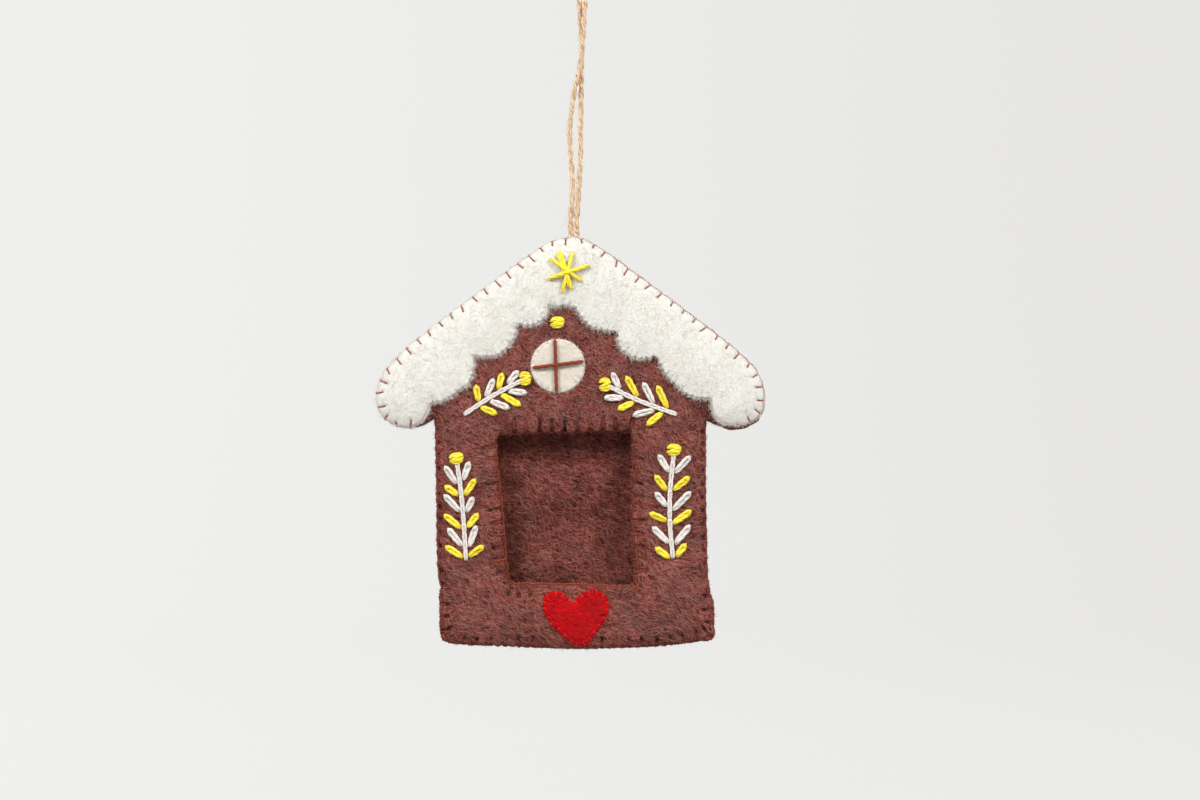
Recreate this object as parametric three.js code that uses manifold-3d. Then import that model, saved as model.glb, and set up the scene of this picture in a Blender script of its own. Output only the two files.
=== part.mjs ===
// A hand-sewn wool-felt house that frames a small picture, hanging on a loop of jute twine.
// Millimetres, +Z up, and the front faces -Y. The origin is the inside of the top of the loop,
// where the hook or twig that holds the ornament goes.

import * as THREE from "three";
import { mergeVertices } from "three/addons/utils/BufferGeometryUtils.js";
import Module from "manifold-3d";

const wasm = await Module();
wasm.setup();

// House
const roofSpan = 105; // eave tip to eave tip
const roofHeight = 51.7; // ridge to the lowest point of the eaves
const wallWidth = 74.5;
const wallHeight = 59.8; // lowest point of the eaves to the bottom edge

// Layers, from the front to the back
const snowThickness = 2;
const patchThickness = 1.6; // the round window and the heart
const faceThickness = 2;
const waddingThickness = 2.2;
const liningThickness = 1.6;
const pocketGap = 0.8; // the picture slides in here
const backThickness = 2;
const layerGap = 0.1; // between pieces that touch
const feltRound = 0.6; // how far a cut edge of felt is rounded over

// Picture window, and the filling that stays inside the felt's edges
const windowWidth = 35.6;
const windowHeight = 40.5;
const windowCornerRadius = 2;
const waddingMargin = 4;

// Round window and heart
const gableDiameter = 15;
const heartWidth = 18.2;
const heartHeight = 15.5;
const heartAboveBottom = 0.9;

// Sewing
const sewingThread = 0.5;
const edgePitch = 3.75; // blanket stitches round the roof and the lower edge
const edgeLeg = 3;
const sidePitch = 3.5;
const sideLeg = 1.2;
const windowPitch = 3.4;
const windowLeg = 3.4;
const hemThread = 0.4;
const hemPitch = 3.2;
const hemLeg = 2.4;
const innerCornerClearance = 3; // a row of stitches stops this far from an inner corner
const rowEnd = 0.8; // and this far from the next row
const patchClearance = 0.5; // between a stitch and the patch that lies over its row

// Embroidery
const stemWidth = 1.2;
const leafThread = 0.62;
const leafWidth = 1.9;
const leafReach = 4.6; // from the middle of the stem to the tip of a middling leaf
const gableKnotWidth = 3.8;
const sprigKnotWidth = 3.5;
const knotHeight = 1.4;
const knotClearance = 0.2; // to the stem under it, or to the round window
const starDiameter = 11.3;
const starThread = 0.8;
const mullionThread = 0.6;
const archRise = 0.3; // a long straight stitch stands this much higher in its middle

// Twine
const twineDiameter = 1.5;
const twineClearance = 0.3; // between the twine and the sewing beside it
const swingClearance = 0.15; // between the loop's rounded ends and the anchor under them
const anchorDepth = 8.5; // ridge to the middle of the knot
const knotLoopWidth = 3.2; // the flattened knot, on the twine's middle line
const knotLoopHeight = 3;
const tailLength = 6;

// The route of the loop's middle line, from the left end over the hook to the right end
const twineRoute = [
  [-3.1, 0, -74.3],
  [-3.1, 0, -71.5],
  [-2.75, 0, -66],
  [-2.6, 0, -61.9],
  [-2.95, 0, -55],
  [-3.35, -0.1, -47],
  [-2.9, -0.3, -41.5],
  [-2.1, -0.6, -36.3],
  [-0.9, -0.8, -31],
  [-0.1, -0.85, -25.5],
  [0.4, -0.75, -19],
  [0.8, -0.3, -12],
  [1.5, 0, -8],
  [2.8, 0, -4.5],
  [3, 0, -2.2],
  [2, 0, 0.1],
  [0, 0, 0.75],
  [-2, 0, 0.1],
  [-3, 0, -2.2],
  [-2.8, 0, -4.5],
  [-1.5, 0, -8],
  [-0.8, 0.3, -12],
  [-0.3, 0.75, -19],
  [-0.1, 0.85, -25.5],
  [-0.2, 0.8, -31],
  [-0.25, 0.6, -36.3],
  [-0.3, 0.3, -41.5],
  [-0.45, 0.1, -47],
  [-0.45, 0, -55],
  [-0.85, 0, -61.9],
  [-1.1, 0, -66],
  [-1.5, 0, -71.5],
  [-1.5, 0, -74.3],
];

// How fine the facets are
const facet = 2.4; // spacing of the points on a curved outline
const bottomFacet = 4; // and on the nearly straight bottom edge
const cornerSteps = 3;
const patchSides = 24;
const knotSides = 8;
const twineSides = 8;
const twineSteps = 56;
const leafSteps = 8;
const stemSteps = 3;
const anchorSteps = 6;
const straightSteps = 4;
const weldDistance = 1e-4; // vertices closer than this are one

// Depths, worked out from the layers. The middle of the filling is at 0.
const liningFront = waddingThickness / 2 + layerGap;
const liningBack = liningFront + liningThickness;
const backFront = liningBack + pocketGap;
const backBack = backFront + backThickness;
const faceBack = -liningFront;
const faceFront = faceBack - faceThickness;
const seamDepth = (faceFront + faceBack) / 2; // where the thread runs along an edge
const onFace = faceFront - layerGap; // where what is sewn to the face begins
const snowFront = onFace - snowThickness;
const patchFront = onFace - patchThickness;

// Felt, threads and twine
const finish = (color, roughness) => new THREE.MeshStandardMaterial({ color, roughness, metalness: 0 });
const brownFelt = finish(0x6f423c, 0.95);
const whiteFelt = finish(0xf1eee5, 0.95);
const redFelt = finish(0xbe131b, 0.95);
const filling = finish(0xece8df, 1);
const rustThread = finish(0x8e3f24, 0.7);
const brownThread = finish(0x5e3029, 0.7);
const whiteThread = finish(0xe9e4dc, 0.7);
const yellowThread = finish(0xe8cf2e, 0.6);
const juteTwine = finish(0xb98f5a, 0.9);

// Outlines, as shares of half the roof's span and of its height, from the ridge, or as shares
// of half the wall's width and of its height, from the eaves. They run anticlockwise, seen
// from the front, so the felt is on their left.
const leftWallShares = [[-0.99, 0.043], [-0.978, -0.32], [-0.971, -0.61], [-0.955, -0.72]];
const bottomShares = [
  [-0.955, -0.72], [-0.949, -0.88], [-0.93, -0.935], [-0.855, -0.972], [-0.5, -0.988], [0.07, -1],
  [0.65, -0.988], [0.94, -0.965], [1.02, -0.945], [1.045, -0.91], [1.047, -0.8], [1.03, -0.745],
];
const rightWallShares = [[1.03, -0.745], [1.012, -0.7], [1, -0.5], [0.993, -0.3], [0.993, 0.035]];
const rightEaveShares = [
  [0.741, -0.977], [0.797, -0.997], [0.874, -1], [0.946, -0.971], [0.988, -0.919],
];
const rightShoulderShares = [[1, -0.836], [0.967, -0.71], [0.844, -0.58]];
const rightRidgeShares = [[0.185, -0.078], [0.093, -0.021], [0.018, 0]];
const leftRidgeShares = [[0.018, 0], [-0.093, -0.021], [-0.17, -0.065]];
const leftShoulderShares = [[-0.844, -0.58], [-0.962, -0.715], [-1, -0.83]];
const leftEaveShares = [
  [-0.993, -0.883], [-0.957, -0.95], [-0.885, -0.992], [-0.823, -1], [-0.766, -0.987],
];
const snowRightEaveShares = [
  [0.725, -0.851], [0.732, -0.905], [0.755, -0.95], [0.8, -0.978], [0.872, -0.985],
  [0.94, -0.962], [0.985, -0.915],
];
const snowLeftEaveShares = [
  [-0.993, -0.883], [-0.955, -0.948], [-0.885, -0.988], [-0.82, -0.992], [-0.765, -0.962],
  [-0.735, -0.915], [-0.72, -0.877],
];
const scallopShares = [
  [[-0.72, -0.877], [-0.648, -0.862], [-0.581, -0.82], [-0.504, -0.747], [-0.491, -0.689], [-0.504, -0.621]],
  [
    [-0.504, -0.621], [-0.448, -0.627], [-0.386, -0.632], [-0.314, -0.58], [-0.273, -0.512],
    [-0.265, -0.465],
  ],
  [[-0.265, -0.465], [-0.216, -0.47], [-0.154, -0.454], [-0.113, -0.397], [-0.116, -0.358]],
  [
    [-0.116, -0.358], [-0.072, -0.366], [-0.021, -0.366], [0.031, -0.381], [0.051, -0.423],
    [0.103, -0.475], [0.175, -0.496], [0.237, -0.504],
  ],
  [[0.237, -0.504], [0.242, -0.556], [0.267, -0.601], [0.334, -0.64], [0.391, -0.642], [0.442, -0.632]],
  [[0.442, -0.632], [0.458, -0.674], [0.494, -0.731], [0.55, -0.789], [0.622, -0.841], [0.725, -0.851]],
];

// Places on the face, in the same shares
const gableCentreShares = [-0.063, -0.674];
const gableKnotShares = [-0.065, -0.446];
const starCentreShares = [-0.021, -0.188];
const windowCentreShares = [-0.018, -0.367];
const heartCentreShare = 0.043;

// A sprig's stem goes from the knot at its tip, past a bend, to its base. A leaf's row holds
// the places of its seat and of its tip, as shares of the stem from the knot, and how far its
// tip reaches, as a share of the reach. The leaves on the stem's left come first.
const uprightSprigShares = {
  left: {
    stemShares: [[-0.823, -0.135], [-0.784, -0.321], [-0.754, -0.593]],
    rowShares: [
      [
        [0.24, 0.07, 0.78], [0.35, 0.26, 0.9], [0.52, 0.35, 1.03],
        [0.67, 0.54, 1.11], [0.86, 0.68, 0.98], [0.96, 0.85, 1.15],
      ],
      [
        [0.21, 0.05, 0.76], [0.35, 0.22, 0.93], [0.52, 0.4, 0.72],
        [0.67, 0.56, 0.88], [0.87, 0.68, 0.77], [0.96, 0.88, 1.08],
      ],
    ],
  },
  right: {
    stemShares: [[0.754, -0.097], [0.72, -0.355], [0.746, -0.584]],
    rowShares: [
      [
        [0.2, 0.05, 0.9], [0.36, 0.24, 0.96], [0.52, 0.4, 0.86],
        [0.65, 0.59, 1.16], [0.86, 0.72, 1.06], [0.99, 0.91, 0.98],
      ],
      [
        [0.21, 0.06, 1.01], [0.36, 0.25, 1.07], [0.56, 0.39, 1.24],
        [0.67, 0.56, 1.29], [0.87, 0.7, 1.2], [0.97, 0.87, 0.84],
      ],
    ],
  },
};
const gableSprigShares = {
  upper_left: {
    stemShares: [[-0.214, -0.734], [-0.386, -0.823], [-0.543, -0.926]],
    rowShares: [
      [[0.23, 0.03, 0.64], [0.38, 0.24, 0.91], [0.6, 0.39, 0.86], [0.72, 0.65, 1.05]],
      [[0.27, 0.09, 0.83], [0.39, 0.25, 1.3], [0.58, 0.41, 1.15], [0.73, 0.6, 1.03]],
    ],
  },
  upper_right: {
    stemShares: [[0.181, -0.772], [0.362, -0.859], [0.546, -0.926]],
    rowShares: [
      [[0.27, 0.06, 0.76], [0.41, 0.28, 0.98], [0.71, 0.49, 0.95], [0.81, 0.7, 1.17]],
      [[0.18, 0.03, 0.84], [0.42, 0.21, 0.98], [0.67, 0.45, 1.09], [0.84, 0.63, 1.2]],
    ],
  },
};

// The picture window's corners, clockwise, as shares of half its width and height
const windowCornerShares = [
  [-0.9, -0.985], [-1.008, 0.07], [-1.09, 0.98], [0.97, 1.027], [0.97, -0.21], [1.02, -1.02],
];
// The heart's two sides, as shares of its width and of its height, from the middle of its top
const heartRightShares = [
  [0.045, -1], [0.163, -0.97], [0.267, -0.83], [0.386, -0.633], [0.5, -0.354], [0.43, -0.1],
  [0.23, 0], [0.08, -0.09], [-0.06, -0.24],
];
const heartLeftShares = [
  [-0.06, -0.24], [-0.19, -0.07], [-0.31, -0.03], [-0.45, -0.1], [-0.5, -0.3],
  [-0.4, -0.58], [-0.244, -0.77], [-0.089, -0.94], [0.045, -1],
];
// Straight stitches from end to end, as shares of half the star's or the round window's width
const starStitchShares = [
  [[-0.37, 0.99], [0.19, -0.8]],
  [[0.27, 1], [-0.26, -0.97]],
  [[-0.84, 0.69], [0.68, -0.42]],
  [[-0.92, -0.31], [1.06, 0.34]],
];
const mullionStitchShares = [
  [[-0.12, 0.9], [-0.05, -0.9]],
  [[-0.89, -0.07], [0.89, 0.15]],
];
// A leaf is a loop of thread: across and along it, as shares of half its width and its length
const leafShares = [
  [-0.55, 0], [-0.85, 0.3], [-1, 0.6], [-0.65, 0.9], [0, 1], [0.65, 0.9], [1, 0.6], [0.85, 0.3],
  [0.55, 0],
];
// A knot's profile, as shares of half its width and of its height, from its seat to its dimple
const knotShares = [[0, 0], [0.8, 0], [1, 0.4], [0.8, 0.85], [0.4, 1], [0, 0.8]];

// A thread along an edge is a little thinner than the stitches it passes through, and the balls
// at the loop's ends are a little smaller than the twine.
const runningThreadShare = 0.9;
const ballShare = 0.92;

const point = (x, z) => new THREE.Vector2(x, z);
const onRoof = (shares) => shares.map(([x, z]) => point((x * roofSpan) / 2, z * roofHeight));
const onWall = (shares) =>
  shares.map(([x, z]) => point((x * wallWidth) / 2, z * wallHeight - roofHeight));

// Points at an even spacing on a smooth curve through the given ones.
function smooth(points, spacing = facet) {
  const places = points.map((p) => new THREE.Vector3(p.x, p.y, 0));
  const curve = new THREE.CatmullRomCurve3(places, false, "centripetal");
  const count = Math.max(2, Math.ceil(curve.getLength() / spacing));
  return curve.getSpacedPoints(count).map((p) => point(p.x, p.y));
}

// Runs of points put end to end, without repeating a point where two runs meet.
function joined(...runs) {
  const all = runs.flat();
  return all.filter((p, i) => i === 0 || p.distanceTo(all[i - 1]) > weldDistance);
}

// The same for runs that come back to their start.
function closed(...runs) {
  const all = joined(...runs);
  return all[0].distanceTo(all.at(-1)) > weldDistance ? all : all.slice(0, -1);
}

// A loop through the given corners, each rounded with a curve.
function roundedLoop(corners, radius) {
  return corners.flatMap((corner, i) => {
    const before = corners.at(i - 1);
    const after = corners[(i + 1) % corners.length];
    const start = corner.clone().add(before.clone().sub(corner).setLength(radius));
    const end = corner.clone().add(after.clone().sub(corner).setLength(radius));
    return new THREE.QuadraticBezierCurve(start, corner, end).getPoints(cornerSteps);
  });
}

const leftWall = onWall(leftWallShares);
const rightWall = onWall(rightWallShares);
const bottomEdge = smooth(onWall(bottomShares), bottomFacet);
const rightEave = smooth(onRoof([...rightEaveShares, ...rightShoulderShares]));
const leftEave = smooth(onRoof([...leftShoulderShares, ...leftEaveShares]));
const rightRidge = smooth(onRoof(rightRidgeShares));
const leftRidge = smooth(onRoof(leftRidgeShares));
const rightRoof = joined(rightEave, rightRidge);
const leftRoof = joined(leftRidge, leftEave);
const twineExit = leftRidge[0];
const houseOutline = closed(leftWall, bottomEdge, rightWall, rightRoof, leftRoof);

const scallops = scallopShares.map((shares) => smooth(onRoof(shares)));
const snowRightEave = smooth(onRoof([...snowRightEaveShares, ...rightShoulderShares]));
const snowLeftEave = smooth(onRoof([...leftShoulderShares, ...snowLeftEaveShares]));
const snowOutline = closed(...scallops, snowRightEave, rightRidge, leftRidge, snowLeftEave);

const [windowCentre] = onWall([windowCentreShares]);
const windowCorners = windowCornerShares.map(([x, z]) =>
  point((x * windowWidth) / 2, (z * windowHeight) / 2).add(windowCentre),
);
const windowOutline = roundedLoop(windowCorners, windowCornerRadius);

const heartTop = point(
  (heartCentreShare * wallWidth) / 2,
  heartHeight + heartAboveBottom - wallHeight - roofHeight,
);
const onHeart = (shares) =>
  shares.map(([x, z]) => point(x * heartWidth, z * heartHeight).add(heartTop));
const heartOutline = closed(smooth(onHeart(heartRightShares)), smooth(onHeart(heartLeftShares)));

const [gableCentre] = onRoof([gableCentreShares]);
const gableOutline = Array.from({ length: patchSides }, (_, i) => {
  const turn = (i * 2 * Math.PI) / patchSides;
  return point(Math.cos(turn), Math.sin(turn)).multiplyScalar(gableDiameter / 2).add(gableCentre);
});

// Meshes, in the house's own frame: its axis is at x = 0 and its ridge at z = 0
const house = new THREE.Group();
const ornament = new THREE.Group();
ornament.add(house);

function piece(name, geometry, material, parent = house) {
  const mesh = new THREE.Mesh(geometry, material);
  mesh.name = name;
  parent.add(mesh);
}

// Closed geometries joined into one.
function fused(geometries) {
  const solids = geometries.map((geometry) => {
    const bare = geometry.clone();
    bare.deleteAttribute("normal");
    bare.deleteAttribute("uv");
    const welded = mergeVertices(bare, weldDistance);
    const vertProperties = welded.attributes.position.array;
    const triVerts = new Uint32Array(welded.index.array);
    return new wasm.Manifold(new wasm.Mesh({ numProp: 3, vertProperties, triVerts }));
  });
  const mesh = solids.reduce((all, one) => all.add(one)).getMesh();
  const geometry = new THREE.BufferGeometry();
  geometry.setAttribute("position", new THREE.BufferAttribute(mesh.vertProperties, 3));
  geometry.setIndex(new THREE.BufferAttribute(mesh.triVerts, 1));
  geometry.computeVertexNormals();
  return geometry;
}

// A sheet of felt between two depths, with its cut edges rounded over.
function sheet(outline, front, back, { holes = [], round = feltRound, roundSteps = 1 } = {}) {
  const shape = new THREE.Shape(outline);
  shape.holes = holes.map((hole) => new THREE.Path(hole));
  const geometry = new THREE.ExtrudeGeometry(shape, {
    depth: back - front - 2 * round,
    bevelThickness: round,
    bevelSize: round,
    bevelOffset: -round,
    bevelSegments: roundSteps,
  });
  geometry.translate(0, 0, round);
  geometry.rotateX(Math.PI / 2);
  return geometry.translate(0, back, 0);
}

// A thread or twine: a section with flat sides, carried along a smooth path.
function strand(places, diameter, steps, sides = 4) {
  const radius = sides === 4 ? diameter / Math.SQRT2 : diameter / 2;
  const section = Array.from({ length: sides }, (_, i) => {
    const turn = ((2 * i + 1) * Math.PI) / sides;
    return point(radius * Math.cos(turn), radius * Math.sin(turn));
  });
  const extrudePath = new THREE.CatmullRomCurve3(places, false, "centripetal");
  return new THREE.ExtrudeGeometry(new THREE.Shape(section), { steps, extrudePath });
}

// Felt, filling and patches
piece("snow_roof", sheet(snowOutline, snowFront, onFace, { roundSteps: 2 }), whiteFelt);
piece("face_panel", sheet(houseOutline, faceFront, faceBack, { holes: [windowOutline] }), brownFelt);
piece("lining_panel", sheet(houseOutline, liningFront, liningBack, { holes: [windowOutline] }), brownFelt);
piece("back_panel", sheet(houseOutline, backFront, backBack), brownFelt);
piece("heart_patch", sheet(heartOutline, patchFront, onFace, { round: feltRound / 2 }), redFelt);
piece("gable_window", sheet(gableOutline, patchFront, onFace, { round: feltRound / 2 }), whiteFelt);

// The filling follows the roof's slopes but not the eaves, and stops below the twine's tails.
const [slopeTop, slopeFoot] = [rightRidge[0], rightEave.at(-1)];
const slope = (slopeTop.y - slopeFoot.y) / (slopeFoot.x - slopeTop.x);
const fillingHalf = wallWidth / 2 - waddingMargin;
const fillingTop = -anchorDepth - knotLoopHeight - tailLength;
const fillingTopHalf = -fillingTop / slope - 2 * waddingMargin;
const fillingShoulder = fillingTop - (fillingHalf - fillingTopHalf) * slope;
const fillingBottom = waddingMargin - wallHeight - roofHeight;
const fillingOutline = [
  point(-fillingHalf, fillingBottom),
  point(fillingHalf, fillingBottom),
  point(fillingHalf, fillingShoulder),
  point(fillingTopHalf, fillingTop),
  point(-fillingTopHalf, fillingTop),
  point(-fillingHalf, fillingShoulder),
];
const fillingHole = windowCorners.map((corner) => {
  const away = corner.clone().sub(windowCentre).setLength(waddingMargin);
  return away.add(corner);
});
piece(
  "wadding",
  sheet(fillingOutline, -waddingThickness / 2, waddingThickness / 2, { holes: [fillingHole] }),
  filling,
);

// An edge of felt that stitches follow.
class Edge {
  constructor(points) {
    this.path = new THREE.CurvePath();
    points.slice(1).forEach((p, i) => this.path.add(new THREE.LineCurve(points[i], p)));
    this.length = this.path.getLength();
  }

  // The point at a distance along the edge.
  at(distance) {
    return this.path.getPoint(THREE.MathUtils.clamp(distance / this.length, 0, 1));
  }

  // The direction away from the felt there.
  out(distance) {
    const along = this.at(distance + facet / 4).sub(this.at(distance - facet / 4)).normalize();
    return point(along.y, -along.x);
  }

  // Evenly spaced distances, short of the ends by what is kept clear there.
  spaced(pitch, clearStart, clearEnd = clearStart) {
    const run = this.length - clearStart - clearEnd;
    const count = Math.max(1, Math.round(run / pitch));
    return Array.from({ length: count + 1 }, (_, i) => clearStart + (run * i) / count);
  }
}

// One stitch over an edge. Its outline is drawn with x away from the felt and y in depth.
function stitch(edge, distance, outline, thread) {
  const place = edge.at(distance);
  const out = edge.out(distance);
  const geometry = new THREE.ExtrudeGeometry(new THREE.Shape(outline), {
    depth: thread,
    bevelEnabled: false,
  });
  geometry.translate(0, 0, -thread / 2);
  geometry.applyMatrix4(
    new THREE.Matrix4().makeBasis(
      new THREE.Vector3(out.x, 0, out.y),
      new THREE.Vector3(0, 1, 0),
      new THREE.Vector3(-out.y, 0, out.x),
    ),
  );
  return geometry.translate(place.x, 0, place.y);
}

// The thread that runs along an edge from stitch to stitch.
function runningThread(edge, distances, depth, thread) {
  const away = layerGap + thread / 2;
  const places = distances.map((distance) => {
    const p = edge.at(distance).addScaledVector(edge.out(distance), away);
    return new THREE.Vector3(p.x, depth, p.y);
  });
  return strand(places, thread * runningThreadShare, distances.length - 1);
}

// A blanket stitch over an edge, holding the layers between two faces.
function blanketStitch(rows, front, back, leg) {
  const near = layerGap;
  const far = layerGap + sewingThread;
  const outline = [
    point(-leg, front - far),
    point(far, front - far),
    point(far, back + far),
    point(-leg, back + far),
    point(-leg, back + near),
    point(near, back + near),
    point(near, front - near),
    point(-leg, front - near),
  ];
  return fused(
    rows.flatMap(({ edge, stitches, thread }) => [
      runningThread(edge, thread, seamDepth, sewingThread),
      ...stitches.map((distance) => stitch(edge, distance, outline, sewingThread)),
    ]),
  );
}

// A leg that would reach a patch is left out, because the patch lies over its row.
const isInside = (p, outline) =>
  outline.filter((a, i) => {
    const b = outline.at(i - 1);
    return a.y > p.y !== b.y > p.y && p.x < a.x + ((p.y - a.y) * (b.x - a.x)) / (b.y - a.y);
  }).length % 2 === 1;

function clearOf(patch, edge, leg) {
  return (distance) =>
    [leg, leg / 2].every((reach) => {
      const p = edge.at(distance).addScaledVector(edge.out(distance), -reach);
      const nearest = Math.min(...patch.map((q) => q.distanceTo(p)));
      return !isInside(p, patch) && nearest > facet / 2 + patchClearance;
    });
}

// The roof's stitches start on each side of the twine, and stop short of the walls.
const besideTwine = twineDiameter + twineClearance + sewingThread / 2;
const roofEdge = new Edge(joined(rightRoof, leftRoof));
const exitDistance = new Edge(rightRoof).length;
const roofStitches = [
  ...roofEdge.spaced(edgePitch, innerCornerClearance, roofEdge.length - exitDistance + besideTwine),
  ...roofEdge.spaced(edgePitch, exitDistance + besideTwine, innerCornerClearance),
];
const roofRow = {
  edge: roofEdge,
  stitches: roofStitches,
  thread: roofEdge.spaced(edgePitch / 2, innerCornerClearance),
};
piece("roof_edge_stitch", blanketStitch([roofRow], snowFront, backBack, edgeLeg), rustThread);

// Below the opening for the picture, the front and the back are sewn together.
const lowerEdge = new Edge(bottomEdge);
const lowerRow = {
  edge: lowerEdge,
  stitches: lowerEdge.spaced(edgePitch, rowEnd).filter(clearOf(heartOutline, lowerEdge, edgeLeg)),
  thread: lowerEdge.spaced(edgePitch / 2, rowEnd),
};
piece("lower_edge_stitch", blanketStitch([lowerRow], faceFront, backBack, edgeLeg), brownThread);

// Beside the opening, only the front frame is sewn, and its stitches pass inside the pocket.
const leftSide = new Edge(leftWall);
const rightSide = new Edge(rightWall);
const sideRow = (edge, clearStart, clearEnd) => ({
  edge,
  stitches: edge.spaced(sidePitch, clearStart, clearEnd),
  thread: edge.spaced(sidePitch, clearStart, clearEnd),
});
const leftRow = sideRow(leftSide, innerCornerClearance, rowEnd);
const rightRow = sideRow(rightSide, rowEnd, innerCornerClearance);
piece("left_side_stitch", blanketStitch([leftRow], faceFront, liningBack, sideLeg), brownThread);
piece("right_side_stitch", blanketStitch([rightRow], faceFront, liningBack, sideLeg), brownThread);

const windowEdge = new Edge([...windowOutline, windowOutline[0]]);
const windowRow = {
  edge: windowEdge,
  stitches: windowEdge.spaced(windowPitch, rowEnd).filter(clearOf(heartOutline, windowEdge, windowLeg)),
  thread: windowEdge.spaced(windowPitch, rowEnd),
};
piece("window_stitch", blanketStitch([windowRow], faceFront, liningBack, windowLeg), rustThread);

// The hem's stitches lie on the snow and step down over its edge to the face.
const hemNear = layerGap;
const hemFar = layerGap + hemThread;
const hemOutline = [
  point(-hemLeg, snowFront - hemFar),
  point(hemFar, snowFront - hemFar),
  point(hemFar, onFace),
  point(hemNear, onFace),
  point(hemNear, snowFront - hemNear),
  point(-hemLeg, snowFront - hemNear),
];
const hemEdge = new Edge(joined(...scallops));
const hemThreadPlaces = hemEdge.spaced(hemPitch / 2, rowEnd);
piece(
  "snow_hem_stitch",
  fused([
    runningThread(hemEdge, hemThreadPlaces, onFace - hemThread / 2, hemThread),
    ...scallops.flatMap((scallop) => {
      const edge = new Edge(scallop);
      return edge.spaced(hemPitch, rowEnd).map((distance) => stitch(edge, distance, hemOutline, hemThread));
    }),
  ]),
  whiteThread,
);

// Straight stitches that cross one another on a face, each a little higher in its middle.
function crossedStitches(shares, centre, radius, face, thread) {
  const level = face - layerGap - thread / 2;
  return fused(
    shares.map((ends) => {
      const [from, to] = ends.map(([x, z]) => point(x, z).multiplyScalar(radius).add(centre));
      const middle = from.clone().lerp(to, 1 / 2);
      const places = [
        new THREE.Vector3(from.x, level, from.y),
        new THREE.Vector3(middle.x, level - archRise, middle.y),
        new THREE.Vector3(to.x, level, to.y),
      ];
      return strand(places, thread, straightSteps);
    }),
  );
}
const [starCentre] = onRoof([starCentreShares]);
piece(
  "star_stitch",
  crossedStitches(starStitchShares, starCentre, starDiameter / 2, snowFront, starThread),
  yellowThread,
);
piece(
  "mullion_stitch",
  crossedStitches(mullionStitchShares, gableCentre, gableDiameter / 2, patchFront, mullionThread),
  rustThread,
);

// A knot of wound thread, sitting on the face.
function knot(centre, width) {
  const profile = knotShares.map(([r, h]) => point((r * width) / 2, h * knotHeight));
  const geometry = new THREE.LatheGeometry(profile, knotSides);
  geometry.rotateX(Math.PI);
  return geometry.translate(centre.x, onFace, centre.y);
}
const [gableKnot] = onRoof([gableKnotShares]);
piece("gable_knot", knot(gableKnot, gableKnotWidth), yellowThread);

// A loop of thread that lies on the face as a leaf, from its seat to its tip.
function leaf(seat, tip) {
  const along = tip.clone().sub(seat);
  along.setLength(along.length() - leafThread / 2);
  const across = point(-along.y, along.x).setLength((leafWidth - leafThread) / 2);
  const places = leafShares.map(([side, share]) => {
    const p = seat.clone().addScaledVector(along, share).addScaledVector(across, side);
    return new THREE.Vector3(p.x, onFace - leafThread / 2, p.y);
  });
  return strand(places, leafThread, leafSteps);
}

// A sprig: a white stem with pairs of leaves, every second pair in yellow, and a knot at its tip.
// The white leaves grow out of the stem, and the yellow ones are sewn beside it.
function sprig(name, [berry, bend, base], leaves) {
  const depth = onFace - stemWidth / 2;
  const inDepth = (p) => new THREE.Vector3(p.x, depth, p.y);
  const route = new THREE.CatmullRomCurve3([berry, bend, base].map(inDepth));
  const onStem = (share) => point(route.getPointAt(share).x, route.getPointAt(share).z);
  const across = point(base.y - berry.y, berry.x - base.x).normalize();
  const whiteSeat = stemWidth / 2;
  const yellowSeat = stemWidth / 2 + layerGap + leafWidth / 3;
  const white = [];
  const yellow = [];
  for (const pair of leaves[0].keys()) {
    for (const [row, side] of [[leaves[0][pair], 1], [leaves[1][pair], -1]]) {
      const [seatShare, tipShare, reachShare] = row;
      const beside = pair % 2 === 0 ? whiteSeat : yellowSeat;
      const seat = onStem(seatShare).addScaledVector(across, side * beside);
      const tip = onStem(tipShare).addScaledVector(across, side * reachShare * leafReach);
      (pair % 2 === 0 ? white : yellow).push(leaf(seat, tip));
    }
  }
  const top = bend.clone().sub(berry).setLength(sprigKnotWidth / 2 + knotClearance).add(berry);
  const stem = strand([top, bend, base].map(inDepth), stemWidth, stemSteps);
  piece(`${name}_sprig_stem`, fused([stem, ...white]), whiteThread);
  yellow.forEach((geometry, i) => piece(`${name}_sprig_leaf_${i + 1}`, geometry, yellowThread));
  piece(`${name}_sprig_knot`, knot(berry, sprigKnotWidth), yellowThread);
}
for (const [name, { stemShares, rowShares }] of Object.entries(uprightSprigShares))
  sprig(name, onWall(stemShares), rowShares);

// Beside the round window, a knot that would touch it moves away from it.
const besideGable = (gableDiameter + sprigKnotWidth) / 2 + knotClearance;
for (const [name, { stemShares, rowShares }] of Object.entries(gableSprigShares)) {
  const [berry, bend, base] = onRoof(stemShares);
  const away = berry.clone().sub(gableCentre);
  if (away.length() < besideGable) berry.copy(away.setLength(besideGable).add(gableCentre));
  sprig(name, [berry, bend, base], rowShares);
}

// The loop of twine ends in two balls, and the house swings about the line through them.
const route = twineRoute.map((place) => new THREE.Vector3(...place));
const ends = [route[0], route.at(-1)];
const balls = ends.map((end) => {
  const ball = new THREE.SphereGeometry((twineDiameter / 2) * ballShare, twineSides, twineSides - 2);
  return ball.rotateX(Math.PI / 2).translate(...end);
});
const loop = strand(route, twineDiameter, twineSteps, twineSides);
piece("twine_loop", fused([loop, ...balls]), juteTwine, ornament);

const pivotHeight = layerGap + sewingThread + twineClearance + twineDiameter / 2;
const pivot = ends[0].clone().lerp(ends[1], 1 / 2);
house.position.set(pivot.x - twineExit.x, 0, pivot.z - twineExit.y - pivotHeight);

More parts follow.
